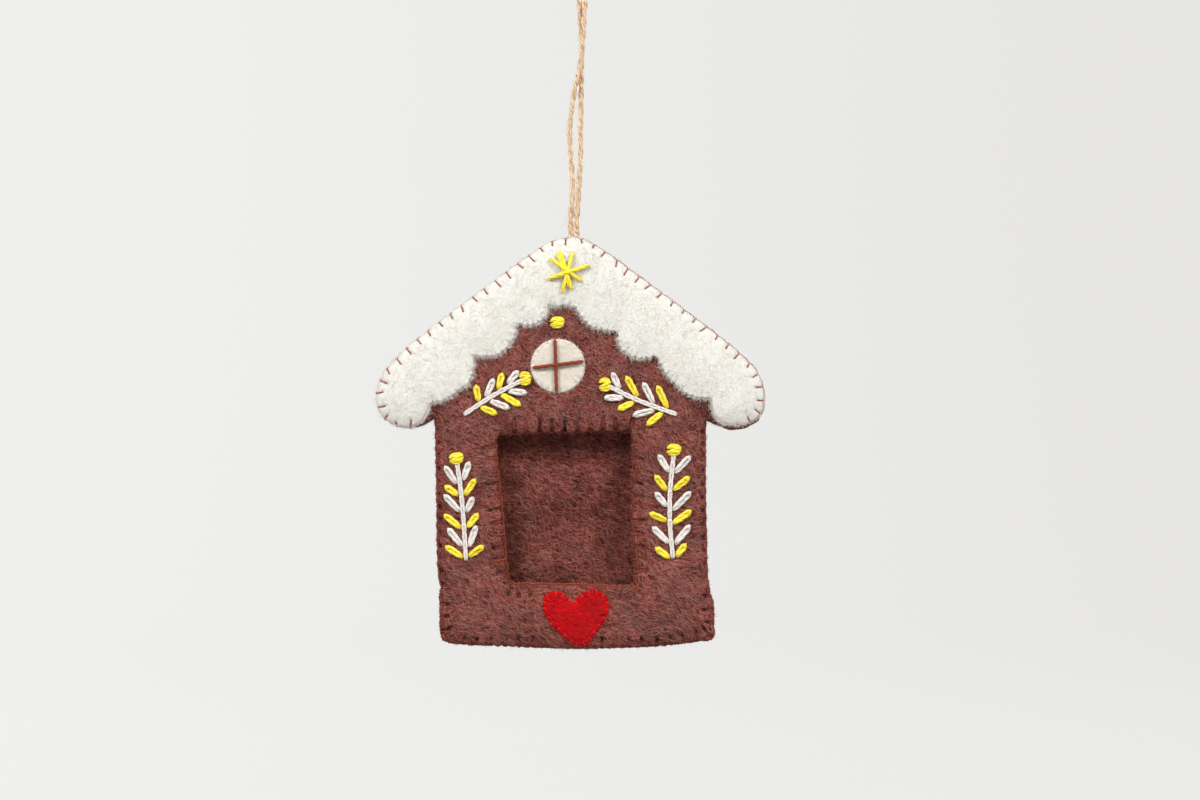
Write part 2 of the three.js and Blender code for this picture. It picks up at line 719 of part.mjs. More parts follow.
// Under the balls, the twine goes on between the layers, to a flattened knot and two tails.
const anchorTop = pivotHeight - twineDiameter / 2 - swingClearance;
const knotRing = new THREE.TorusGeometry(knotLoopWidth / 2, twineDiameter / 2, twineSides, patchSides / 2);
knotRing.scale(1, knotLoopHeight / knotLoopWidth, 1);
knotRing.rotateX(Math.PI / 2);
knotRing.translate(twineExit.x, 0, -anchorDepth);
const legs = ends.map((end) => {
  const x = end.x - house.position.x;
  const side = Math.sign(x - twineExit.x);
  const places = [
    [x, anchorTop],
    [x, -anchorDepth / 2],
    [twineExit.x + (side * knotLoopWidth) / 4, -anchorDepth],
    [twineExit.x + (side * knotLoopWidth) / 3, -anchorDepth - knotLoopHeight / 2],
    [twineExit.x + (side * knotLoopWidth) / 2, -anchorDepth - knotLoopHeight / 2 - tailLength],
  ];
  const points = places.map(([px, pz]) => new THREE.Vector3(px, 0, pz));
  return strand(points, twineDiameter, anchorSteps, twineSides);
});
piece("twine_anchor", fused([knotRing, ...legs]), juteTwine);

export default ornament;
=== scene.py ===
# %% [markdown]
# # A hand-sewn felt house that frames a small picture
#
# The real house is cut from sheets of wool felt, sewn together by hand with stranded cotton, and
# hung on a loop of jute twine. This lesson makes each of them the way a maker does: felt as soft
# sheets that the stitches draw in, every stitch as a twisted thread that dives into the felt, and
# over it all loose fibres, because wool is never smooth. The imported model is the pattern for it:
# the outlines and the holes of the stitches are read off its nodes.

import math

import bpy
import numpy as np
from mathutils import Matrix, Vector
from mathutils.geometry import delaunay_2d_cdt

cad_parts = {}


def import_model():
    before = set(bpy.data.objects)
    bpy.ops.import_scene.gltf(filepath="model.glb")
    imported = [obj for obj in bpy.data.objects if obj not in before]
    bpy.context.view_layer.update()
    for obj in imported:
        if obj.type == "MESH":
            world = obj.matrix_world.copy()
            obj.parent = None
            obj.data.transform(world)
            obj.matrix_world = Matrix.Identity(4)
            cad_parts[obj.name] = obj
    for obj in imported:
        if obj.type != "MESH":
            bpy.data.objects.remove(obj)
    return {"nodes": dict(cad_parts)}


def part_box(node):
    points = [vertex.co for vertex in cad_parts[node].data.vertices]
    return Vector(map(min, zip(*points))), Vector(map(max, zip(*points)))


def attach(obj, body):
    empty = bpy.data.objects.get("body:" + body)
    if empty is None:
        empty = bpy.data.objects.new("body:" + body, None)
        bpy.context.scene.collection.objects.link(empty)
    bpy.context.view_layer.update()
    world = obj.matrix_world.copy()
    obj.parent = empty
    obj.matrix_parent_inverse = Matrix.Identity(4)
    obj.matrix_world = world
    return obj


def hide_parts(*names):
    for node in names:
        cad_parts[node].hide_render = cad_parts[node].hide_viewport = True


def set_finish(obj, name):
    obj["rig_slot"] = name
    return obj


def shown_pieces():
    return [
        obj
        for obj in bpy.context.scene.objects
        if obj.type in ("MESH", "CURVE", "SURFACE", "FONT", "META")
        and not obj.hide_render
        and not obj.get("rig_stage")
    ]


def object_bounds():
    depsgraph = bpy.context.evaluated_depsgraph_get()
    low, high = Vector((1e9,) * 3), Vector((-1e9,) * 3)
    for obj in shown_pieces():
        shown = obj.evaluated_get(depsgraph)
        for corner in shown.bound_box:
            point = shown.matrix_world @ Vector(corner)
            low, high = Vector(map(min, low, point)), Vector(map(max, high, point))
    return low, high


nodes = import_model()["nodes"]
cad_low, cad_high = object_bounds()
scene = bpy.context.scene
MM = 0.001
chance = np.random.default_rng(7)
print(f"{len(nodes)} nodes, {(cad_high.z - cad_low.z) / MM:.1f} mm tall")

# %% [markdown]
# ## The camera
#
# A product photographer stands back and uses a long lens, so that a small thing shows no
# perspective. An 85 mm lens does that. Its distance follows from the size of one pixel of the
# photograph at the front of the house, and its aim from the middle of the photograph.

# %% Camera
PHOTO_WIDTH = 1200
PHOTO_CENTRE = (600, 400)
PIXEL = 0.27 * MM
LOOP_PIXEL_X = 582  # the pixel column of x = 0
LOOP_PIXEL_Y = -44.4  # and the pixel row of z = 0, above the picture
LENS = 85.0
SENSOR = 36.0
FRONT_DEPTH = -4.5 * MM

camera_data = bpy.data.cameras.new("camera")
camera_data.lens = LENS
camera_data.sensor_width = SENSOR
camera = bpy.data.objects.new("camera", camera_data)
scene.collection.objects.link(camera)
camera.location = (
    (PHOTO_CENTRE[0] - LOOP_PIXEL_X) * PIXEL,
    FRONT_DEPTH - PHOTO_WIDTH * PIXEL * LENS / SENSOR,
    -(PHOTO_CENTRE[1] - LOOP_PIXEL_Y) * PIXEL,
)
camera.rotation_euler = (math.radians(90), 0, 0)
scene.camera = camera
print(f"camera {-camera.location.y:.3f} m in front")

# %% [markdown]
# ## Lines and directions
#
# Everything here follows lines: cut edges, threads and twine. A line is an array of points. Flat
# ones, called places, are pairs of x and z on the plane of the house, and a depth y takes them
# into space. These few helpers measure a line, cut it into even steps and turn its direction.

# %% Lines and directions
def along(line):
    """The distance along a line of points, at each of them."""
    gaps = np.linalg.norm(np.diff(line, axis=0), axis=1)
    return np.concatenate([[0], np.cumsum(gaps)])


def at(marks, length, values):
    """The values of a line at marks along its length, on straight lines between its points."""
    return np.stack([np.interp(marks, length, axis) for axis in values.T], axis=-1)


def even_steps(path, count):
    """The same path as a number of evenly spaced points."""
    length = along(path)
    return at(np.linspace(0, length[-1], count), length, path)


def unit(vectors):
    """The same directions, each divided by its length."""
    return vectors / np.linalg.norm(vectors, axis=-1, keepdims=True)


def left_of(ahead):
    """The directions a quarter turn to the left of others: minus their z, and their x."""
    return np.stack([-ahead[..., 1], ahead[..., 0]], axis=-1)


def in_space(places, y):
    """Points in space at x, y and z, from places and their depths."""
    return np.stack([places[..., 0], np.broadcast_to(y, places.shape[:-1]), places[..., 1]], axis=-1)


# %% [markdown]
# ## Smooth lines
#
# Cut edges, threads and twine have no corners but those that were meant. Given a few points, the
# line between two of them is a cubic, and its slope at each point is taken from the points on
# both sides. It is then cut into even steps, which make the best meshes.

# %% Smooth lines
CUBIC_STEPS = 12


def smooth(points, step, closed=False):
    """Evenly spaced points on a smooth line through the given ones.

    Each stretch is a cubic: start and end points, and slopes made from the chords on both
    sides of each point, weighted by the square roots of their lengths."""
    points = np.asarray(points, float)
    before = points[-1:] if closed else 2 * points[:1] - points[1:2]
    after = points[:2] if closed else 2 * points[-1:] - points[-2:-1]
    p = np.concatenate([before, points, after])
    gap = np.linalg.norm(np.diff(p, axis=0), axis=1)[:, None] ** 0.5
    chord = np.diff(p, axis=0) / gap
    slope = chord[:-1] - (p[2:] - p[:-2]) / (gap[:-1] + gap[1:]) + chord[1:]
    start, end = p[1:-2, None], p[2:-1, None]
    leave = (slope[:-1] * gap[1:-1])[:, None]
    arrive = (slope[1:] * gap[1:-1])[:, None]
    t = np.linspace(0, 1, CUBIC_STEPS, endpoint=False)[None, :, None]
    curve = (2 * t**3 - 3 * t**2 + 1) * start + (t**3 - 2 * t**2 + t) * leave
    curve += (3 * t**2 - 2 * t**3) * end + (t**3 - t**2) * arrive
    curve = np.concatenate([curve.reshape(-1, p.shape[1]), p[-2:-1]])
    line = even_steps(curve, max(2, round(along(curve)[-1] / step)) + 1)
    return line[:-1] if closed else line


# %% [markdown]
# ## Twisted threads
#
# Twine and sewing cotton are both made the same way: fibres are spun into plies, and two or three
# plies are laid round each other. So one function makes them all. It takes many paths at once as
# one array, finds two directions square to each path, and lets the middle of each ply run round
# the path like a corkscrew. Each tube is closed at both ends, and a UV map runs round and along
# it, so that a material can draw the fibres.

# %% Twisted threads
PLY_SHARE = {2: 0.6, 3: 0.58}  # a ply's share of the thread's radius, for two and three plies
END_SHARES = (0.45, 0.85)  # the first and last rings are smaller, so that ends look cut and soft
NEXT_TURN = 2.4  # radians that each thread is turned by from the one before
SEWING_LAY = 1.8 * MM  # the length of one turn of the plies in sewing cotton


def strands(paths, thickness, plies=2, lay=SEWING_LAY, corners=6, swell=1.0, side=(0, 1, 0)):
    """Twisted threads along many paths of as many points each.

    The middle of a ply is the path, plus its orbit times (cosine of the turn across the path
    plus sine of the turn up from it). The turn grows by one circle in each lay. The points of
    a ring go round that middle. Returns points, faces of four, and the faces' UVs."""
    paths = np.asarray(paths, float)
    count, steps = paths.shape[:2]
    ahead = unit(np.gradient(paths, axis=1))
    side = np.broadcast_to(np.asarray(side, float), paths.shape)
    across = unit(side - (side * ahead).sum(2, keepdims=True) * ahead)
    up = np.cross(ahead, across)[:, None, :, None]
    across = across[:, None, :, None]
    run = np.array([along(path) for path in paths])

    ply_radius = thickness / 2 * PLY_SHARE[plies]
    orbit = thickness / 2 - ply_radius
    size = np.ones(steps)
    size[[0, 1]] = size[[-1, -2]] = END_SHARES
    first = np.arange(count)[:, None, None] * NEXT_TURN
    share = np.arange(plies)[None, :, None] / plies
    turn = (2 * np.pi * (run[:, None] / lay + share) + first)[..., None]
    middle = paths[:, None, :, None]
    middle = middle + orbit * (np.cos(turn)[..., None] * across + np.sin(turn)[..., None] * up)
    spot = turn + 2 * np.pi * np.arange(corners) / corners
    ring = np.cos(spot)[..., None] * across + np.sin(spot)[..., None] * up
    points = middle + ply_radius * (size * swell)[:, None, None] * ring

    number = np.arange(count * plies * steps * corners).reshape(-1, steps, corners)
    beside = np.roll(number, -1, axis=2)
    walls = [number[:, :-1], beside[:, :-1], beside[:, 1:], number[:, 1:]]
    fan = np.array([[0, j, j + 1, j + 2] for j in range(1, corners - 2, 2)])
    faces = [np.stack(walls, axis=-1), number[:, 0][:, fan[:, ::-1]], number[:, -1][:, fan]]
    faces = np.concatenate([part.reshape(-1, 4) for part in faces])

    k = np.arange(corners) / corners
    length = np.repeat(run, plies, axis=0)
    low, high = length[:, :-1, None] / MM, length[:, 1:, None] / MM
    uv = [(k, low), (k + 1 / corners, low), (k + 1 / corners, high), (k, high)]
    uv = np.stack([np.stack(np.broadcast_arrays(*pair), axis=-1) for pair in uv], axis=-2)
    uv = uv.reshape(-1, 4, 2)
    caps = np.zeros((len(faces) - len(uv), 4, 2))
    return points.reshape(-1, 3), faces, np.concatenate([uv, caps])


def joined(parts):
    """Several sets of points, faces and UVs as one."""
    starts = np.cumsum([0] + [len(points) for points, _, _ in parts])
    points = np.concatenate([points for points, _, _ in parts])
    faces = np.concatenate([faces + start for (_, faces, _), start in zip(parts, starts)])
    return points, faces, np.concatenate([uv for _, _, uv in parts])


# %% [markdown]
# ## From arrays to pieces
#
# Each piece is one mesh that rides on a body, takes the slot of its finish, and hides the nodes of
# the pattern that it takes the place of. Numbers can be kept on its points for its material.

# %% Pieces
def make_piece(name, body, slot, replaces, points, faces, uv=None):
    """A smooth mesh that rides on a body and takes the finish of a material slot."""
    mesh = bpy.data.meshes.new(name)
    mesh.from_pydata(np.asarray(points).tolist(), [], np.asarray(faces).tolist())
    mesh.shade_smooth()
    if uv is not None:
        layer = mesh.uv_layers.new(name="fibres")
        layer.uv.foreach_set("vector", np.asarray(uv, np.float32).ravel())
    piece = bpy.data.objects.new(name, mesh)
    scene.collection.objects.link(piece)
    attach(piece, body)
    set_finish(piece, slot)
    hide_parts(*replaces)
    print(f"{name}: {len(mesh.polygons)} faces")
    return piece


def keep_values(piece, name, values):
    """Keeps a number on each point of a piece, for its material."""
    attribute = piece.data.attributes.new(name, "FLOAT", "POINT")
    attribute.data.foreach_set("value", np.asarray(values, np.float32))


# %% [markdown]
# ## The loop of twine
#
# The ornament hangs on one length of jute twine, both ends of which go down between the layers
# of felt at the ridge. The route is the pattern's own: up one side, round over the hook, and
# down the other side, with the strands crossing once where the loop has turned. The twine is
# limp, so it hangs in the way the photograph shows. Its thickness is its own real size, and its
# two plies make a full turn in about five thicknesses. Hand-spun twine is nowhere quite even, and
# it is looser where it comes out of the ridge.

# %% Twine loop
TWINE = 1.5 * MM
TWINE_LAY = -8 * MM
TWINE_STEP = 0.4 * MM
TWINE_CORNERS = 10
TWINE_OVERLAP = 0.6 * MM  # the loop's ends and the ends in the felt lie side by side for this far
SLUBS = 0.08  # the share by which the twine is thicker and thinner along it
SLUB_WAVES = (2.3 * MM, 7.9 * MM)
RIDGE_SWELL = 0.12
RIDGE_REACH = 6 * MM
TWINE_ROUTE = [
    (-0.0031, 0, -0.0743), (-0.0031, 0, -0.0715), (-0.00275, 0, -0.066), (-0.0026, 0, -0.0619),
    (-0.00295, 0, -0.055), (-0.00335, -0.0001, -0.047), (-0.0029, -0.0003, -0.0415),
    (-0.0021, -0.0006, -0.0363), (-0.0009, -0.0008, -0.031), (-0.0001, -0.00085, -0.0255),
    (0.0004, -0.00075, -0.019), (0.0008, -0.0003, -0.012), (0.0015, 0, -0.008),
    (0.0028, 0, -0.0045), (0.003, 0, -0.0022), (0.002, 0, 0.0001), (0, 0, 0.00075),
    (-0.002, 0, 0.0001), (-0.003, 0, -0.0022), (-0.0028, 0, -0.0045), (-0.0015, 0, -0.008),
    (-0.0008, 0.0003, -0.012), (-0.0003, 0.00075, -0.019), (-0.0001, 0.00085, -0.0255),
    (-0.0002, 0.0008, -0.031), (-0.00025, 0.0006, -0.0363), (-0.0003, 0.0003, -0.0415),
    (-0.00045, 0.0001, -0.047), (-0.00045, 0, -0.055), (-0.00085, 0, -0.0619),
    (-0.0011, 0, -0.066), (-0.0015, 0, -0.0715), (-0.0015, 0, -0.0743),
]

twine_path = smooth(TWINE_ROUTE, TWINE_STEP)
below = np.array([0, 0, TWINE_OVERLAP])
twine_path = np.concatenate([[twine_path[0] - below], twine_path, [twine_path[-1] - below]])
twine_run = along(twine_path)
twine_length = twine_run[-1]
uneven = 1 + SLUBS * np.sin(twine_run / SLUB_WAVES[0]) * np.sin(twine_run / SLUB_WAVES[1])
uneven += RIDGE_SWELL * np.exp(-np.minimum(twine_run, twine_length - twine_run) / RIDGE_REACH)
twine = make_piece(
    "jute_loop", "loop", "jute_twine", ["twine_loop"],
    *strands([twine_path], TWINE, 2, TWINE_LAY, TWINE_CORNERS, uneven),
)
print(f"{twine_length / MM:.0f} mm of twine in the loop")

# %% [markdown]
# ## Reading the pattern
#
# Each felt sheet in the pattern is a flat solid. Its walls, the faces that look neither forwards
# nor back, run once round each cut edge, so walking along them gives the outline. The pattern's
# corners are kept, and what lies between them is made smooth.

# %% Outlines from the pattern
EDGE_STEP = 0.45 * MM
HOUSE_CORNER = 60  # degrees: sharper corners than this stay corners
SNOW_CORNER = 50
SAME_DEPTH = 0.01 * MM
WALL_FACING = 0.1  # a wall looks forwards or back by less than this share


def triangles_of(node):
    """A node's points, each of them once, and its triangles as rows of three point numbers."""
    mesh = nodes[node].data
    places = np.empty(len(mesh.vertices) * 3, np.float32)
    mesh.vertices.foreach_get("co", places)
    corners = np.empty(len(mesh.loops), np.int32)
    mesh.loops.foreach_get("vertex_index", corners)
    points, number = np.unique(places.reshape(-1, 3), axis=0, return_inverse=True)
    return points.astype(float), number.ravel()[corners].reshape(-1, 3)


def middle_of(node):
    """The place in the middle of a node's box, and half its width."""
    low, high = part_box(node)
    return np.array([low.x + high.x, low.z + high.z]) / 2, (high.x - low.x) / 2


def outlines_of(node):
    """The cut edges of a sheet, the outer one first, with the felt on their left."""
    points, triangles = triangles_of(node)
    a, b, c = (points[triangles[:, i]] for i in range(3))
    facing = unit(np.cross(b - a, c - a))
    walls = triangles[np.abs(facing[:, 1]) < WALL_FACING]
    front = points[walls, 1].min() + SAME_DEPTH
    ends = np.concatenate([walls[:, [1, 0]], walls[:, [2, 1]], walls[:, [0, 2]]])
    ends = ends[(points[ends, 1] < front).all(axis=1)]
    follows = dict(ends.tolist())
    loops = []
    while follows:
        walk = [next(iter(follows))]
        while walk[-1] in follows:
            walk.append(follows.pop(walk[-1]))
        loops.append(points[walk[:-1]][:, [0, 2]])
    return sorted(loops, key=lambda loop: -np.ptp(loop[:, 0]))


def soften(loop, step, corner):
    """A smooth outline that keeps every corner sharper than the given angle."""
    leave = np.roll(loop, -1, axis=0) - loop
    arrive = loop - np.roll(loop, 1, axis=0)
    turn = arrive[:, 0] * leave[:, 1] - arrive[:, 1] * leave[:, 0]
    bend = np.abs(np.arctan2(turn, (arrive * leave).sum(axis=1)))
    corners = np.flatnonzero(bend > math.radians(corner))
    if len(corners) == 0:
        return smooth(loop, step, closed=True)
    loop = np.roll(loop, -corners[0], axis=0)
    marks = np.append(corners - corners[0], len(loop))
    ring = np.concatenate([loop, loop[:1]])
    runs = [smooth(ring[a : b + 1], step)[:-1] for a, b in zip(marks, marks[1:])]
    return np.concatenate(runs)


# %% [markdown]
# Two questions come up again and again: how far is a place from a cut edge, and is it on the felt
# at all? Both are answered for thousands of places at once, in parts that fit in memory.

# %% Near an outline, and inside it
PART = 4000  # places at a time


def in_parts(places):
    """The places in parts of about equal size."""
    return np.array_split(places, len(places) // PART + 1)


def next_points(loops):
    """For each point of the outlines, the one that follows it."""
    return np.concatenate([np.roll(loop, -1, axis=0) for loop in loops])


def distance_to(loops, places):
    """How far each place is from the nearest point of the outlines.

    The nearest corner comes first: its square, less twice its product with the place, is the
    smallest. The nearest point is then on one of the two stretches that meet there."""
    corners = np.concatenate(loops)
    square = (corners**2).sum(axis=1)
    nearest = [(square - 2 * part @ corners.T).argmin(axis=1) for part in in_parts(places)]
    nearest = np.concatenate(nearest)
    away = places - corners[nearest]
    gaps = []
    for turn in (1, -1):
        spans = np.concatenate([np.roll(loop, -turn, axis=0) - loop for loop in loops])[nearest]
        share = np.clip((away * spans).sum(axis=1) / (spans**2).sum(axis=1), 0, 1)
        gaps.append(np.linalg.norm(away - share[:, None] * spans, axis=1))
    return np.minimum(*gaps)


def inside(loops, places):
    """Whether a line drawn to the right of each place crosses the outlines an odd number of times."""
    start, end = np.concatenate(loops), next_points(loops)
    rise = end[:, 1] - start[:, 1]
    run = (end[:, 0] - start[:, 0]) / np.where(rise == 0, 1, rise)
    within = []
    for part in in_parts(places):
        x, z = part[:, :1], part[:, 1:]
        spans = (start[:, 1] > z) != (end[:, 1] > z)
        hits = spans & (x < start[:, 0] + (z - start[:, 1]) * run)
        within.append(hits.sum(axis=1) % 2 == 1)
    return np.concatenate(within)


# %% [markdown]
# ## How felt gives
#
# Felt is thick and soft. A cut edge rounds over, a stitch presses a groove and a deeper dimple
# where its hole is, the edge is drawn in a little where the thread goes round it, and the whole
# stack of layers is thinner where it is sewn. All of that is a height over the plane of the
# house, so each sheet is one function: a place on the felt goes in, and a point in space comes
# out. Threads and loose fibres ask the same function where the surface is.

# %% How the layers gather at a seam
SEWN_THINNER = 0.3  # the share of its depth that the stack loses at its outer edge
WINDOW_THINNER = 0.05  # and the share that the front frame loses at the window
SEWN_REACH = 2.6 * MM
SEAM_CLOSED = 0.97  # the share of the gap between two layers that a seam closes
SEAM_WIDTH = 1.3 * MM  # how far in from the edge it stays closed
LAYERS = ("face_panel", "lining_panel", "back_panel")
layer_sides = [corner.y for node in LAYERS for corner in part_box(node)]
frame_middle = (layer_sides[0] + layer_sides[3]) / 2
half_gaps = [(layer_sides[i + 1] - layer_sides[i]) / 2 for i in (1, 3)]
SEAM_MOVES = [0, half_gaps[0], -half_gaps[0], half_gaps[1], -half_gaps[1], 0]
WINDOW_MOVES = [0, half_gaps[0], -half_gaps[0], 0, 0, 0]
print(f"gaps of {half_gaps[0] * 2 / MM:.1f} and {half_gaps[1] * 2 / MM:.1f} mm between the layers")


def nearness(distance):
    """1 at a seam and less with the distance: e to the power of minus its share of the reach."""
    return np.exp(-np.maximum(0, distance) / SEWN_REACH)


def gathered(places, y, framed):
    """Points in space, drawn together where the house is sewn.

    Each side of a layer moves by half the gap to the next, times the nearness of the seam, and
    then all depths shrink by a share. A framed sheet does the same at the window."""
    from_edge = distance_to(outer_edge, places)
    moved = nearness(from_edge - SEAM_WIDTH) * np.interp(y, layer_sides, SEAM_MOVES)
    if framed:
        at_window = nearness(distance_to(window_edge, places) - SEAM_WIDTH)
        moved += at_window * np.interp(y, layer_sides, WINDOW_MOVES)
        y = frame_middle + (y - frame_middle) * (1 - WINDOW_THINNER * at_window)
    return in_space(places, (y + SEAM_CLOSED * moved) * (1 - SEWN_THINNER * nearness(from_edge)))


RIPPLE = 0.12 * MM
WAVES = 14
WAVE_LENGTHS = (5, 17)  # millimetres
WAVE_SUM = 5  # the waves' sum seldom goes past this


def ripple(places, seed):
    """Slow bumps between about -1 and 1: a sum of waves in many directions."""
    rng = np.random.default_rng(seed)
    angle = rng.uniform(0, 2 * np.pi, WAVES)
    length = rng.uniform(*WAVE_LENGTHS, WAVES) * MM
    waves = np.stack([np.cos(angle), np.sin(angle)]) * 2 * np.pi / length
    return np.sin(places @ waves + rng.uniform(0, 2 * np.pi, WAVES)).sum(axis=1) / WAVE_SUM


# %% [markdown]
# A sheet is kept flat as its outlines, and made thick and soft by its surface function. Every row
# of stitches that is sewn through it adds its grooves and its pulls to that function.

# %% A sheet of felt
GROOVE_DEPTH = 0.85 * MM
GROOVE_WIDTH = 0.5 * MM
HOLE_DEPTH = 0.6 * MM
HOLE_WIDTH = 0.5 * MM
AT_HOLE = 0.12  # the share of a leg from its hole to where it presses most
AT_LIP = 0.8
TIGHTNESS = (0.3, 1.1)  # no two stitches are pulled equally tight
DRAWN_IN = 0.3 * MM
DRAWN_WIDTH = 0.85 * MM
HEM_WIDTH = 0.6 * MM  # a whip stitch draws in less of the edge than a blanket stitch
CROWN_REACH = 2.8 * MM


def bell(gap, width):
    """1 where the gap is nothing, and less with its square."""
    return np.exp(-((gap / width) ** 2))


class Felt:
    """A sheet of felt as a function from places on the plane of the house to points in space."""

    def __init__(self, node, corner=HOUSE_CORNER, crown=0.0, framed=False, seed=0, outside=-1, power=2):
        self.node = node
        self.loops = [soften(loop, EDGE_STEP, corner) for loop in outlines_of(node)]
        low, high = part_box(node)
        self.front, self.back = low.y, high.y
        self.crown = crown
        self.framed = framed
        self.seed = seed
        self.outside = outside  # the side that shows: -1 in front, 1 behind
        self.power = power  # of the edge's curve: 2 is a half circle, and more is squarer
        self.grooves = []
        self.pulls = []

    def sewn(self, holes, edges, depth=1.0, pull=1.0, width=DRAWN_WIDTH, deepest=AT_HOLE):
        """Adds a row of stitches that presses into the outside and draws in the edge.

        depth, pull and deepest may be one number for the row, or one for each stitch. deepest
        is where along its leg a stitch presses most, from 0 at the hole to 1 at the edge."""
        pull, deepest = (np.broadcast_to(share, len(holes))[:, None] for share in (pull, deepest))
        self.grooves.append((holes, edges, depth * chance.uniform(*TIGHTNESS, len(holes)), deepest))
        self.pulls.append((edges, unit(holes - edges) * pull * DRAWN_IN, width))

    def pressed(self, places):
        """How deep the stitches are at each place: the deepest of their grooves, each with its hole.

        A groove is a bell of the distance from the leg, and a hole a bell of that from a point."""
        deep = np.zeros(len(places))
        for holes, edges, depths, deepest in self.grooves:
            span = edges - holes
            away = places[:, None] - holes
            share = np.clip((away * span).sum(axis=2) / (span**2).sum(axis=1), 0, 1)[..., None]
            both = 0
            for point, most, width in (
                (share, GROOVE_DEPTH, GROOVE_WIDTH), (deepest, HOLE_DEPTH, HOLE_WIDTH),
            ):
                gap = np.linalg.norm(away - point * span, axis=2)
                both = both + (depths * most * bell(gap, width)).max(axis=1)
            deep = np.maximum(deep, both)
        return deep

    def drawn_in(self, places):
        """Places moved by every pull: the most at its own point, and less with the distance."""
        moved = places.copy()
        for points, pull, width in self.pulls:
            moved += bell(np.linalg.norm(places[:, None] - points, axis=2), width) @ pull
        return moved

    def surface(self, places, side, on_edge=None, lift=0.0):
        """Points on the front (side -1) or the back (side 1) of the sheet, lifted off it.

        The depth is the middle of the sheet, plus half its thickness times a curve that falls to
        nothing at the cut edge, plus the crown, less what is pressed in, plus the ripple."""
        shape = places.shape[:-1]
        places = places.reshape(-1, 2)
        distance = distance_to(self.loops, places)
        if on_edge is not None:
            distance[on_edge] = 0
        half = (self.back - self.front) / 2
        round_over = (1 - (1 - np.clip(distance / half, 0, 1)) ** self.power) ** (1 / self.power)
        y = (self.front + self.back) / 2 + side * half * round_over
        if side == self.outside:
            crown = self.crown * (1 - np.exp(-distance / CROWN_REACH))
            y += side * (crown - self.pressed(places) * round_over)
        y += side * lift + RIPPLE * ripple(places, self.seed)
        return gathered(self.drawn_in(places), y, self.framed).reshape(*shape, 3)

    def before(self, places, lift=0.0):
        """Points on the front of the sheet, or lifted forwards off it."""
        return self.surface(places, -1, lift=lift)

    def behind(self, places, lift=0.0):
        """Points on the back of the sheet, or lifted backwards off it."""
        return self.surface(places, 1, lift=lift)


# %% [markdown]
# The mesh of a sheet has rings of points along the cut edges, where the curve is tight, a close
# set round each stitch, and an even grid elsewhere. Both sides share one set of triangles, which
# meet along the cut edges, so the sheet is closed.

# %% The mesh of a sheet
RINGS = np.array([0.07, 0.25, 0.5, 0.8, 1.15]) * MM  # in from a cut edge
RING_ROOM = 0.85  # points of a ring that come nearer to an edge than this share of it are left out
GRID_ROOM = 0.45  # and points of the grid nearer to the last ring than this share of a step
ROW_GAP = 0.87  # of a step, so that the triangles of the grid have equal sides
GRID_JITTER = 0.1  # of a step
STITCH_ROOM = 0.1 * MM
LEG_POINTS = 8  # along each leg, and in each ring round its hole
LEG_ROWS = 7  # beside each other, across a groove
LEG_REACH = 1.3  # of the groove's width, to both sides of a leg
HOLE_RINGS = (0.4, 0.8, 1.3)  # of the hole's width


def kept(sheet, places, margin):
    """The places that lie on the felt, at least a margin away from every cut edge."""
    places = places[inside(sheet.loops, places)]
    return places[distance_to(sheet.loops, places) > margin]


def around_stitches(holes, edges):
    """Places along each stitch and beside it, and in rings round its hole."""
    span = edges - holes
    shares = np.linspace(0, 1, LEG_POINTS)[None, :, None, None]
    across = np.linspace(-LEG_REACH, LEG_REACH, LEG_ROWS)[None, None, :, None] * GROOVE_WIDTH
    beside = unit(left_of(span))[:, None, None]
    legs = holes[:, None, None] + shares * span[:, None, None] + across * beside
    turn = 2 * np.pi * np.arange(LEG_POINTS) / LEG_POINTS
    ring = HOLE_WIDTH * np.stack([np.cos(turn), np.sin(turn)], axis=1)
    rings = [holes[:, None] + ring * size for size in HOLE_RINGS]
    return np.concatenate([part.reshape(-1, 2) for part in [legs, *rings]])


